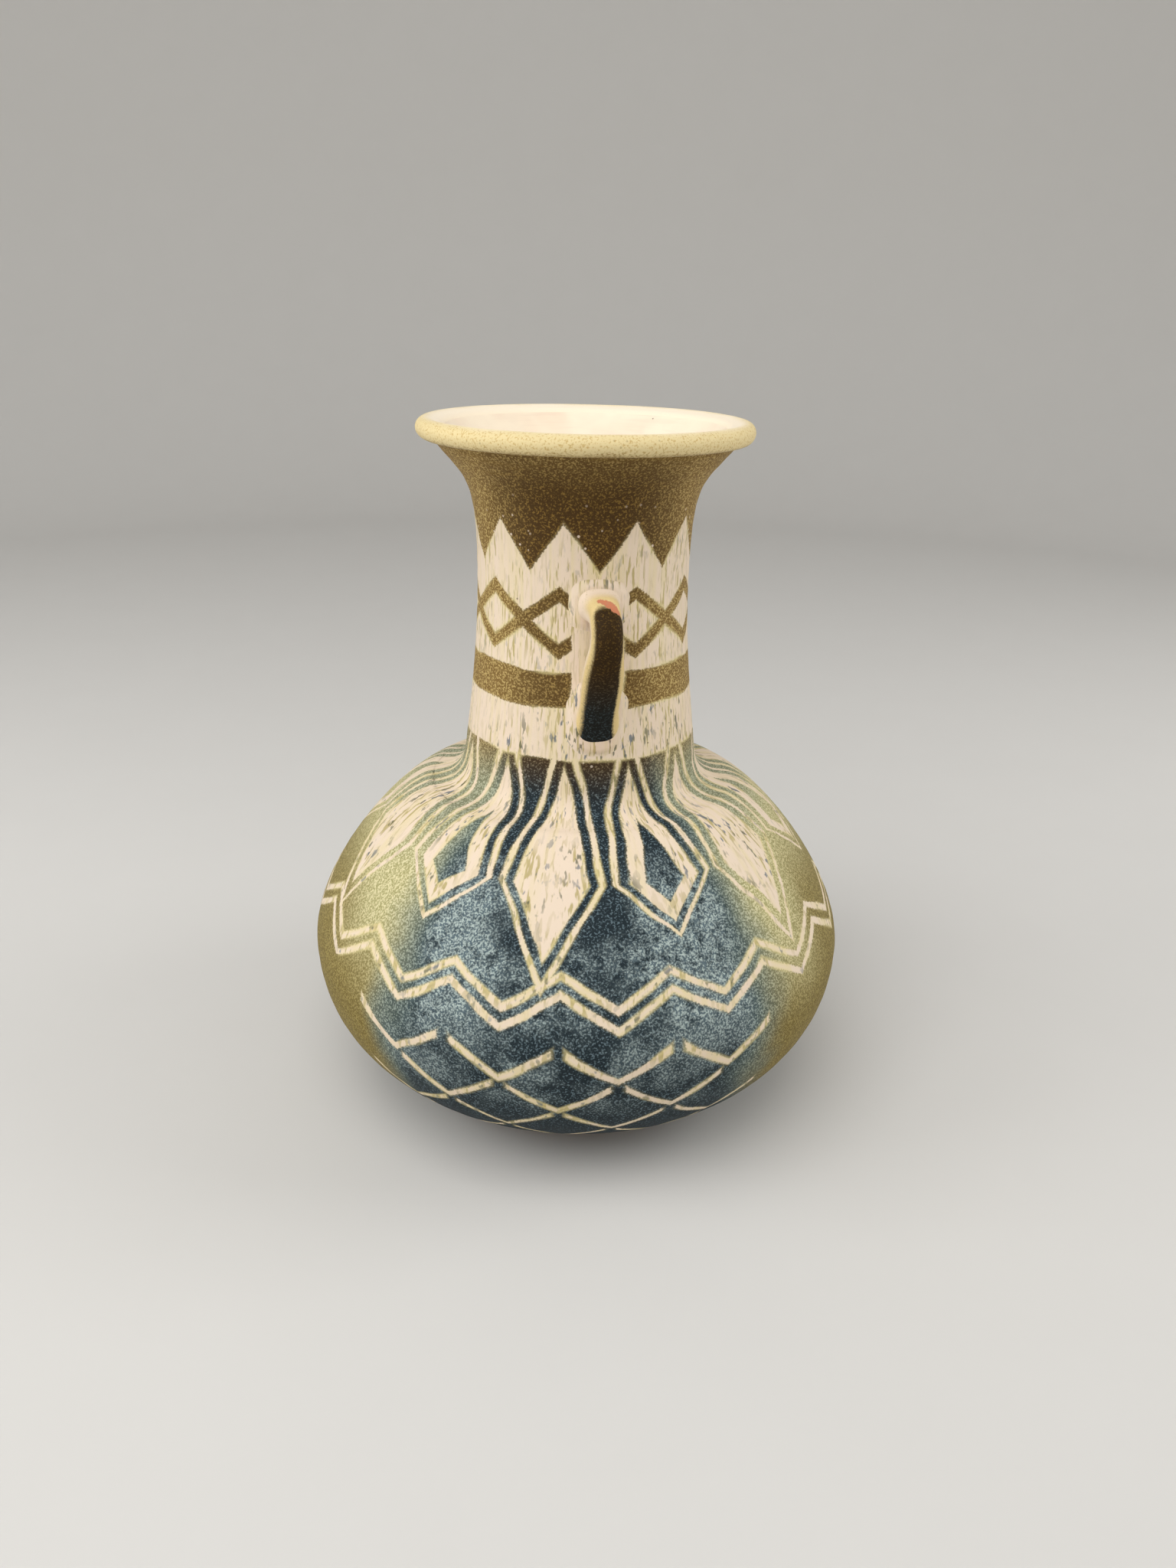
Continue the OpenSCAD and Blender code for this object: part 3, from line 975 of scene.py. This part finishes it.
def neck_finish(scene):
    """The painting of the neck: cream between collar and teeth, with the chain and the band on it."""
    finish = PaintedFinish("painted_neck", scene)
    paint = finish.painting
    field = least(finish.drawn_rise - mm(paint.collar_low), teeth(finish))
    brown = most(chain(finish), between(finish, paint.band_low, paint.band_high))
    cream = most(least(field, -brown), kites(finish), wiped_slip(finish))
    painted_skin(finish, cream, NECK_BLUE)
    return finish


# Lip: grains in its ochre, and specks. Wear fades out and the lining begins along its section, as
# shares of its thickness, and patches and grains move these borders, in millimetres
OCHRE = (0.30, 0.50)
LIP_SPECKS = (1.6, 0.7, 0.2, 0.3)
LIP_WORN = (0.80, 0.24, 0.85)
LIP_LINED = (1.45, 2.20)
WORN_PATCHES = 1.6
WORN_GRAINS = 4
LINED_PATCHES = 2.5


def lip_finish(scene):
    """Ochre lip, worn brown underneath, that runs into the pale lining over its crown."""
    finish = PaintedFinish("ochre_lip", scene)
    glazes = finish.glazes
    thick = mm(scene.jug_form.lip_t)
    along = finish.rise - finish.attribute("lip_start")
    patches = finish.patch - 0.5
    worn = (along + WORN_PATCHES * patches + WORN_GRAINS * (finish.grain - 0.5)) / thick
    lined = (along + LINED_PATCHES * patches) / thick
    tone = finish.sprayed(glazes.ochre_grain, glazes.ochre, *OCHRE)
    tone = finish.mix(worn.step(*LIP_WORN), tone, glazes.umber)
    tone = finish.mix(finish.specks(*LIP_SPECKS), tone, glazes.umber)
    tone = finish.mix(lined.step(*LIP_LINED), tone, glazes.lining)
    finish.skin(tone, finish.grain, finish.grain, *LIP_SKIN)
    return finish


# Lining: steps of its shades, turning marks and pink patches, and its pinholes
SHADES_SIZE = 9
LINING_SHADES = (0.35, 0.70, 0.3)
LINING_MARKS = (0.50, 0.70, 0.3)
LINING_PINK = (0.45, 0.65, 0.10)
PINHOLES = (7, 0.8, 0.7)
PINHOLE_COVER = 0.8


def lining_finish(scene):
    """Pale satin glaze with faint turning marks and a few pinholes."""
    finish = PaintedFinish("pale_lining", scene)
    glazes = finish.glazes
    shade = finish.noise(SHADES_SIZE, detail=3)
    pinholes = finish.specks(*PINHOLES)
    tone = finish.mix(shade.step(*LINING_SHADES), glazes.lining, glazes.cream)
    tone = finish.mix(finish.turning_marks().step(*LINING_MARKS), tone, glazes.cream)
    tone = finish.mix(finish.patch.step(*LINING_PINK), tone, glazes.chip)
    tone = finish.mix(pinholes * PINHOLE_COVER, tone, glazes.pinhole)
    finish.skin(tone, shade, finish.grain - pinholes, *LINING_SKIN)
    return finish


# Clay: size and step of its grog, and step of the patches wiped darker
GROG_SIZE = 0.8
GROG = (0.55, 0.70)
CLAY_PATCHES = (0.40, 0.70, 0.4)


def clay_finish(scene):
    """Bare fired clay with grog, wiped where the jug stands."""
    finish = PaintedFinish("bare_clay", scene)
    glazes = finish.glazes
    grog = finish.noise(GROG_SIZE, detail=3, roughness=0.7)
    tone = finish.mix(grog.step(*GROG), glazes.clay, glazes.clay_grain)
    tone = finish.mix(finish.patch.step(*CLAY_PATCHES), tone, glazes.clay_grain)
    finish.skin(tone, grog, grog, *CLAY_SKIN)
    return finish


# The dark face. Outward runs from -1 under the strap to 1 on its face, and across from -1 at its
# left side to 1 at its right. Other places are millimetres past the line where the dark begins
FACE_TURNS = (-0.1, 0.3)
FACE_STARTS = (-0.7, 0.9)
FACE_ARCH = 2.5
FACE_LEFT = (-1.0, -0.74)
FACE_RIGHT = (-1, 14, 0.72, 1.10)
RIGHT_SOFT = 0.08
FACE_GRAINS = (0.50, 0.66, 0.30)
FACE_BLUE = (12, 30)
BLUE_PATCHES = 8
# How much grains and drift roughen the face's edges, and how much more so at its start and sides
ROUGH_GRAINS = 0.5
ROUGH_DRIFT = 0.12
START_ROUGH = 2
SIDE_ROUGH = 0.4
# Flanks: steps by outward, by millimetres from the neck, and of their olive grains
FLANK_TURNS = (-0.4, 0.4, 0.8)
FLANK_STARTS = (2, 9)
FLANK_GRAINS = (0.62, 0.70, 0.45)
CHIP_EDGE = (0.30, 0.48)
CHIP_GRAINS = (0.40, 0.70, 0.5)


def strap_finish(scene, strap):
    """Dark outer face that turns blue-black below, cream flanks and arm, and a chip of bare clay."""
    finish = PaintedFinish("strap_glaze", scene)
    glazes, grain = finish.glazes, finish.grain
    along, across, outward = (finish.attribute(name) for name in ("along", "across", "outward"))
    past = along - mm(strap.dark_start)
    rough = ROUGH_GRAINS * (grain - 0.5) + ROUGH_DRIFT * finish.drift
    sideways = across + SIDE_ROUGH * rough
    face = (outward + rough).step(*FACE_TURNS)
    face = face * (past - FACE_ARCH * (1 - outward) + START_ROUGH * rough).step(*FACE_STARTS)
    face = face * sideways.step(*FACE_LEFT)
    face = face * (sideways - past.step(*FACE_RIGHT)).step(RIGHT_SOFT, -RIGHT_SOFT)
    low = (past + BLUE_PATCHES * (finish.patch - 0.5)).step(*FACE_BLUE)
    grains = finish.mix(low, glazes.brown_grain, glazes.navy_grain)
    dark = finish.mix(grain.step(*FACE_GRAINS), finish.mix(low, glazes.strap, glazes.strap_low), grains)
    flank = outward.step(*FLANK_TURNS) * along.step(*FLANK_STARTS)
    pale = finish.mix(flank, glazes.cream, glazes.flank)
    pale = finish.mix(grain.step(*FLANK_GRAINS), pale, glazes.dash_olive)
    bare = finish.attribute("chipped") + ROUGH_GRAINS * (grain - 0.5)
    chipped = finish.mix(grain.step(*CHIP_GRAINS), glazes.chip, glazes.clay)
    tone = finish.mix(bare.step(*CHIP_EDGE), finish.mix(face, pale, dark), chipped)
    finish.skin(tone, grain, grain, *STRAP_SKIN)
    return finish


# Pink painted shadow under the strap's ends, in the colour of the chip's bare clay
SLIP_PAINTED_SHADOW = (0.2, 1.0, 0.10)


def slip_finish(scene, name):
    """Cream slip smeared round an end of the strap, with a pink painted shadow under the end."""
    finish = PaintedFinish(name, scene)
    finish.rise = finish.z
    # Painted shadow: a pink tint below the end of the strap
    painted_shadow = finish.attribute("under").step(*SLIP_PAINTED_SHADOW)
    tone = finish.mix(painted_shadow, cream_slip(finish, SLIP_BLUE), finish.glazes.chip)
    finish.skin(tone, finish.grain, finish.grain, *SLIP_SKIN)
    return finish


# Power of the strap's softly squared outline, and the shares of the arm over which it narrows and of
# the lower part over which it widens
OUTLINE_POWER = 2.6
NARROW_SHARE = 0.7
WIDEN_SHARE = 0.54
OUTLINE_STEPS = 56
ARM_STEPS = 26
BEND_STEPS = 18
DOWN_STEPS = 60
# Reach of the cove round the ends, and of the search for the neck along the strap
COVE_REACH = 3.2 * MM
SEARCH = 14 * MM
HALVINGS = 30
# Lumps of the pulled clay
PULL_LUMP = 0.16 * MM
PULL_SIZE = 7 * MM
# Share of the bend at which the dark of the outer face begins
DARK_SHARE = 0.22
# Chip at the shoulder of the strap: how far it lies beside the middle line and before the dark, half its
# length across the strap and half its length along it, how far it falls to one side, and its depth
CHIP_ASIDE = 1.3 * MM
CHIP_BEFORE = 0.2 * MM
CHIP_W = 3.6 * MM
CHIP_H = 1.2 * MM
CHIP_LEAN = 0.5
CHIP_DEPTH = 0.5 * MM
# How wide its edge is, and how ragged
CHIP_EDGE_WIDTH = 1.35
CHIP_RAGGED = 0.35


def squared(turn):
    """Point of a softly squared outline of half width and half height 1."""
    across, outward = math.cos(turn), math.sin(turn)
    power = 2 / OUTLINE_POWER
    return (
        math.copysign(abs(across) ** power, across),
        math.copysign(abs(outward) ** power, outward),
    )


class Strap:
    """Middle line and outline of the pulled strap, by the distance along it from the neck's surface."""

    def __init__(self, handle, section):
        self.handle = handle
        self.section = section
        self.start = Vector((section.neck_r(handle.arm_z), handle.arm_z))
        corner = Vector((self.start.x + handle.out - handle.thick / 2, handle.arm_z))
        end = Vector((section.neck_r(handle.end_z), handle.end_z))
        self.down = (end - corner).normalized()
        self.turn = math.atan2(self.down.y, self.down.x)
        cut = handle.bend * math.tan(-self.turn / 2)
        self.bend_start = (corner - self.start).length - cut
        self.bend_end = self.bend_start - handle.bend * self.turn
        self.centre = corner - Vector((cut, handle.bend))
        self.bend_stop = corner + cut * self.down
        self.total = self.bend_end + (end - self.bend_stop).length
        self.dark_start = self.bend_start + DARK_SHARE * (self.bend_end - self.bend_start)

    def place(self, s):
        """Middle point and outward direction at a distance along the strap, in the strap's own plane."""
        if s <= self.bend_start:
            return self.start + Vector((s, 0)), Vector((0, 1))
        if s >= self.bend_end:
            return self.bend_stop + (s - self.bend_end) * self.down, Vector((-self.down.y, self.down.x))
        out = direction(UP - (s - self.bend_start) / self.handle.bend)
        return self.centre + self.handle.bend * out, out

    def half_sizes(self, s):
        """Half width and half thickness at a distance along the strap."""
        handle = self.handle
        middle = (self.bend_start + self.bend_end) / 2
        if s < middle:
            narrowed = eased(s / middle / NARROW_SHARE)
            return (handle.root_width + (handle.width - handle.root_width) * narrowed) / 2, handle.thick / 2
        lowered = (s - middle) / (self.total - middle)
        width = handle.width + (handle.end_width - handle.width) * eased(lowered / WIDEN_SHARE)
        return width / 2, (handle.thick + (handle.end_thick - handle.thick) * eased(lowered)) / 2

    def clearance(self, point):
        """How far a point stands out from the neck."""
        return math.hypot(point.x, point.y) - self.section.neck_r(point.z)

    def corner(self, s, outline):
        """Point of the outline at a distance along the strap, spread into a cove near the neck."""
        across, outward = outline
        middle, out = self.place(s)
        half_w, half_t = self.half_sizes(s)

        def at(grown):
            off = outward * (half_t + grown)
            return Vector((across * (half_w + grown), -(middle.x + off * out.x), middle.y + off * out.y))

        near = max(0.0, 1 - max(0.0, self.clearance(at(0.0))) / COVE_REACH)
        return at(self.handle.cove * near * near)

    def meets_neck(self, outline, inside, outside):
        """Distance along the strap at which a line of its outline enters the slip on the neck."""
        seat = self.handle.pad_t / 2
        for _ in range(HALVINGS):
            middle = (inside + outside) / 2
            if self.clearance(self.corner(middle, outline)) > seat:
                outside = middle
            else:
                inside = middle
        return (inside + outside) / 2


def pulled_strap(handle, section):
    """Closed mesh of the strap, cut to the neck at both ends, with a chip at its shoulder."""
    strap = Strap(handle, section)
    outlines = [squared(math.tau * j / OUTLINE_STEPS) for j in range(OUTLINE_STEPS)]
    ends = []
    for outline in outlines:
        first = strap.meets_neck(outline, -SEARCH, strap.bend_start)
        last = strap.meets_neck(outline, strap.total + SEARCH, strap.bend_end)
        ends.append((first, last))
    corners, along, across, outward, chipped = [], [], [], [], []
    parts = (
        [(i / ARM_STEPS, 0, 1) for i in range(ARM_STEPS)]
        + [(i / BEND_STEPS, 1, 2) for i in range(BEND_STEPS)]
        + [(i / DOWN_STEPS, 2, 3) for i in range(DOWN_STEPS + 1)]
    )
    for share, low, high in parts:
        for outline, (first, last) in zip(outlines, ends):
            stops = (first, strap.bend_start, strap.bend_end, last)
            s = stops[low] + share * (stops[high] - stops[low])
            point = strap.corner(s, outline)
            middle, _ = strap.place(s)
            out = point - Vector((0, -middle.x, middle.y))
            lump = PULL_LUMP * noise.noise(point / PULL_SIZE)
            aside = point.x - CHIP_ASIDE
            past = s - strap.dark_start + CHIP_BEFORE - CHIP_LEAN * aside
            near = math.hypot(aside / CHIP_W, past / CHIP_H)
            worn = eased(CHIP_EDGE_WIDTH - near - CHIP_RAGGED * noise.noise(point / CHIP_H))
            worn *= eased(outline[1])
            point += (lump - CHIP_DEPTH * worn) * out.normalized()
            corners.append(tuple(point))
            along.append(s * PER_METRE)
            across.append(outline[0])
            outward.append(outline[1])
            chipped.append(worn)
    n = OUTLINE_STEPS
    faces = [[n - 1 - j for j in range(n)]]
    for i in range(len(parts) - 1):
        for j in range(n):
            k = (j + 1) % n
            faces.append([i * n + j, i * n + k, (i + 1) * n + k, (i + 1) * n + j])
    faces.append([(len(parts) - 1) * n + j for j in range(n)])
    attributes = {"along": along, "across": across, "outward": outward, "chipped": chipped}
    return strap, shaped("handle_strap_pulled", corners, faces, attributes)


# Rings of the slip: as shares of the strap's outline, and beyond it as shares of the rim
SLIP_UNDER = (0.35, 0.7, 1.0)
SLIP_RIM_STEPS = 8
SLIP_STEPS = 72
# How far the slip is keyed into the neck, and how much and how often its rim wanders
SLIP_KEY = 0.25 * MM
SLIP_WANDER = 0.5
SLIP_WAVES = 2


def smeared_slip(name, section, middle_z, half_w, half_h, handle):
    """Closed mound of slip on the neck round one end of the strap, thinning out to nothing."""

    def on_neck(across, up, height):
        z = middle_z + up
        radius = section.neck_r(z)
        turn = math.asin(across / radius)
        return ((radius + height) * math.sin(turn), -(radius + height) * math.cos(turn), z)

    corners, under = [on_neck(0, 0, handle.pad_t)], [0.0]
    rings = [(size, 0.0, handle.pad_t) for size in SLIP_UNDER]
    for beyond in [(i + 1) / SLIP_RIM_STEPS for i in range(SLIP_RIM_STEPS)]:
        rings.append((1.0, beyond, handle.pad_t * (1 - eased(beyond))))
    rings.append((1.0, 1.0, -SLIP_KEY))
    for size, beyond, height in rings:
        for j in range(SLIP_STEPS):
            turn = math.tau * j / SLIP_STEPS
            across, up = squared(turn)
            round_rim = Vector((*(SLIP_WAVES * direction(turn)), middle_z / MM))
            rim = beyond * handle.pad_rim * (1 + SLIP_WANDER * noise.noise(round_rim))
            corners.append(on_neck(across * (half_w * size + rim), up * (half_h * size + rim), height))
            # under: how much painted shadow falls here, most just below the strap's end
            under.append(max(0.0, -math.sin(turn)) * (1 - beyond))
    corners.append(on_neck(0, 0, -SLIP_KEY))
    under.append(0.0)
    last = len(corners) - 1
    faces = []
    for j in range(SLIP_STEPS):
        k = (j + 1) % SLIP_STEPS
        faces.append([0, 1 + j, 1 + k])
        for i in range(len(rings) - 1):
            a, b = 1 + i * SLIP_STEPS, 1 + (i + 1) * SLIP_STEPS
            faces.append([a + j, b + j, b + k, a + k])
        a = 1 + (len(rings) - 1) * SLIP_STEPS
        faces.append([a + k, a + j, last])
    return shaped(name, corners, faces, {"under": under})


class JUG_OT_foot(bpy.types.Operator):
    """Turn the foot ring"""

    bl_idname = "jug.foot"
    bl_label = "Foot"

    def execute(self, context):
        form = context.scene.jug_form
        outer, edge, top = form.foot_d / 2, form.foot_edge, form.foot_h
        inner = outer - form.foot_w
        section = [plain(Vector((inner, top))), plain(Vector((outer, top)))]
        for centre, first in ((outer - edge, 0.0), (inner + edge, -UP)):
            for i in range(SHORT_STEPS // 2 + 1):
                turn = first - math.pi * i / SHORT_STEPS
                section.append(plain(Vector((centre, edge)) + edge * direction(turn)))
        fitted(turned("foot_ring_turned", section, form.facets), "foot_ring", clay_finish(context.scene))
        return {"FINISHED"}


class JUG_OT_belly(bpy.types.Operator):
    """Throw the belly and glaze it"""

    bl_idname = "jug.belly"
    bl_label = "Belly"

    def execute(self, context):
        form = context.scene.jug_form
        line = Section(form)
        inside = [plain(p) for p in reversed(line.belly_inside)]
        outside = [faded(spot, spot.rise) for spot in line.belly]
        seat = plain(line.seat_outer, line.belly[-1].rise + form.coil)
        section = [plain(Vector((0, form.foot_h)))] + outside + [seat] + inside
        fitted(turned("belly_thrown", section, form.facets), "belly", belly_finish(context.scene))
        return {"FINISHED"}


class JUG_OT_neck(bpy.types.Operator):
    """Throw the neck and join it to the shoulder with a smoothed coil"""

    bl_idname = "jug.neck"
    bl_label = "Neck"

    def execute(self, context):
        form = context.scene.jug_form
        line = Section(form)
        inside = [plain(p) for p in reversed(line.neck_inside)]
        seat = plain(line.seat_outer, line.neck[0].rise - form.coil)
        neck = turned("neck_thrown", [seat] + line.neck + inside, form.facets)
        fitted(neck, "neck", neck_finish(context.scene))
        seat = plain(line.seat_outer, (line.joint[0].rise + line.joint[-1].rise) / 2)
        joint = turned("neck_joint_smoothed", [seat] + line.joint, form.facets)
        fitted(joint, "neck_joint", joint_finish(context.scene))
        return {"FINISHED"}


class JUG_OT_lip(bpy.types.Operator):
    """Roll the lip"""

    bl_idname = "jug.lip"
    bl_label = "Lip"

    def execute(self, context):
        form = context.scene.jug_form
        line = Section(form)
        end = line.lip[-1].rise
        section = [faded(spot, end - spot.rise) for spot in line.lip]
        piece = turned("rim_bead_rolled", section, form.facets)
        start = [mm(line.lip[0].rise)] * len(piece.data.vertices)
        piece.data.attributes.new("lip_start", "FLOAT", "POINT").data.foreach_set("value", start)
        fitted(piece, "rim_bead", lip_finish(context.scene))
        return {"FINISHED"}


class JUG_OT_lining(bpy.types.Operator):
    """Line the inside with pale glaze"""

    bl_idname = "jug.lining"
    bl_label = "Lining"

    def execute(self, context):
        form = context.scene.jug_form
        line = Section(form)
        wall = line.belly_inside + line.neck_inside[1:]
        coated = spots(moved(wall, form.lining), 1)
        total = coated[-1].rise
        shown = [faded(spot, total - spot.rise, LINING_RELIEF) for spot in coated]
        section = [plain(p) for p in wall] + shown[::-1]
        lining = turned("inner_glaze_poured", section, form.facets)
        fitted(lining, "inner_glaze", lining_finish(context.scene))
        return {"FINISHED"}


class JUG_OT_handle(bpy.types.Operator):
    """Pull the strap and lute it to the neck with slip"""

    bl_idname = "jug.handle"
    bl_label = "Handle"

    def execute(self, context):
        handle = context.scene.jug_handle
        line = Section(context.scene.jug_form)
        strap, piece = pulled_strap(handle, line)
        fitted(piece, "handle_strap", strap_finish(context.scene, strap))
        half_w, half_t = handle.root_width / 2 + handle.cove, handle.thick / 2 + handle.cove
        upper = smeared_slip("upper_slip_smeared", line, handle.arm_z, half_w, half_t, handle)
        fitted(upper, "upper_handle_joint", slip_finish(context.scene, "upper_slip"))
        half_w = handle.end_width / 2 + handle.cove
        half_t = handle.end_thick / 2 / -strap.down.x + handle.cove
        lower = smeared_slip("lower_slip_smeared", line, handle.end_z, half_w, half_t, handle)
        fitted(lower, "lower_handle_joint", slip_finish(context.scene, "lower_slip"))
        return {"FINISHED"}


# Studio cove, in metres: floor radius, radius of its bend, height of its wall, thickness and facets
COVE_FLOOR = 1.0
COVE_BEND = 0.4
COVE_WALL = 1.3
COVE_THICK = 0.02
COVE_FACETS = 96
# Size in millimetres and strength of the floor's mottle
MOTTLE_SIZE = 40
MOTTLE = 0.04
# Lamps: places, and the point that they look at
KEY_PLACE = Vector((-0.30, -0.50, 0.95))
KEY_SIZE = 0.9
SIDE_PLACE = Vector((0.85, -0.10, 0.50))
SIDE_SIZE = 0.5
LAMP_TARGET = Vector((0, 0, 0.09))


class JUG_OT_stage(bpy.types.Operator):
    """Set the floor, the lamps and the camera"""

    bl_idname = "jug.stage"
    bl_label = "Stage"

    def execute(self, context):
        scene = context.scene
        self.lay_floor(scene)
        self.hang_lamps(scene)
        self.place_camera(scene)
        scene.view_settings.view_transform = "Standard"
        return {"FINISHED"}

    def lay_floor(self, scene):
        """A floor that bends up into a wall all round."""
        centre = Vector((COVE_FLOOR, COVE_BEND))
        turns = [-UP * (1 - i / SHORT_STEPS) for i in range(SHORT_STEPS + 1)]
        bend = [centre + COVE_BEND * direction(turn) for turn in turns]
        reach = COVE_FLOOR + COVE_BEND
        outer = reach + COVE_THICK
        line = [Vector((0, 0)), *bend, Vector((reach, COVE_WALL)), Vector((outer, COVE_WALL))]
        line += [Vector((outer, -COVE_THICK)), Vector((0, -COVE_THICK))]
        floor = turned("studio_floor", [plain(p) for p in line], COVE_FACETS)
        finish = Finish("studio_floor")
        grain = finish.noise(MOTTLE_SIZE, detail=2)
        tone = finish.mix(grain * MOTTLE, scene.jug_glazes.floor, (1, 1, 1, 1))
        finish.skin(tone, grain, grain, *FLOOR_SKIN)
        floor.data.materials.append(finish.material)

    def hang_lamps(self, scene):
        """A soft box overhead, one at each side, and even light from the room."""
        stage = scene.jug_stage
        mirrored = Vector((-SIDE_PLACE.x, SIDE_PLACE.y, SIDE_PLACE.z))
        lamps = (
            ("key_lamp", KEY_PLACE, KEY_SIZE, stage.key),
            ("right_lamp", SIDE_PLACE, SIDE_SIZE, stage.side),
            ("left_lamp", mirrored, SIDE_SIZE, stage.side),
        )
        for name, place, size, power in lamps:
            lamp = bpy.data.lights.new(name, "AREA")
            lamp.size = size
            lamp.energy = power
            holder = bpy.data.objects.new(name, lamp)
            holder.location = place
            holder.rotation_euler = (LAMP_TARGET - place).to_track_quat("-Z", "Y").to_euler()
            scene.collection.objects.link(holder)
        world = bpy.data.worlds.new("room")
        world.use_nodes = True
        room = world.node_tree.nodes["Background"]
        room.inputs["Color"].default_value = (1, 1, 1, 1)
        room.inputs["Strength"].default_value = stage.ambient
        scene.world = world

    def place_camera(self, scene):
        """The camera where the photographer stood, slightly to the left of the handle."""
        stage = scene.jug_stage
        camera = bpy.data.objects.new("camera", bpy.data.cameras.new("camera"))
        camera.data.lens = stage.lens
        towards = Matrix.Rotation(-stage.azimuth - stage.yaw, 3, "Z")
        tilt = Matrix.Rotation(UP - stage.pitch, 3, "X") @ Matrix.Rotation(stage.roll, 3, "Z")
        camera.rotation_euler = (towards @ tilt).to_euler()
        camera.location = Matrix.Rotation(-stage.azimuth, 3, "Z") @ Vector((0, -stage.distance, stage.height))
        scene.collection.objects.link(camera)
        scene.camera = camera


STEPS = (JUG_OT_stage, JUG_OT_foot, JUG_OT_belly, JUG_OT_neck, JUG_OT_lip, JUG_OT_lining, JUG_OT_handle)


class JUG_PT_panel(bpy.types.Panel):
    """Sizes, colours and steps of the jug"""

    bl_label = "Painted Jug"
    bl_idname = "JUG_PT_panel"
    bl_space_type = "VIEW_3D"
    bl_region_type = "UI"
    bl_category = "Jug"

    def draw(self, context):
        for step in STEPS:
            self.layout.operator(step.bl_idname)
        for name, group in GROUPS.items():
            box = self.layout.box()
            box.label(text=group.__doc__)
            for key in group.__annotations__:
                box.prop(getattr(context.scene, name), key)


def register():
    for made in (*GROUPS.values(), *STEPS, JUG_PT_panel):
        bpy.utils.register_class(made)
    for name, group in GROUPS.items():
        setattr(bpy.types.Scene, name, bpy.props.PointerProperty(type=group))


def unregister():
    for name in GROUPS:
        delattr(bpy.types.Scene, name)
    for made in (JUG_PT_panel, *reversed(STEPS), *GROUPS.values()):
        bpy.utils.unregister_class(made)


def main():
    register()
    for step in STEPS:
        group, name = step.bl_idname.split(".")
        getattr(getattr(bpy.ops, group), name)()


if __name__ == "__main__":
    main()
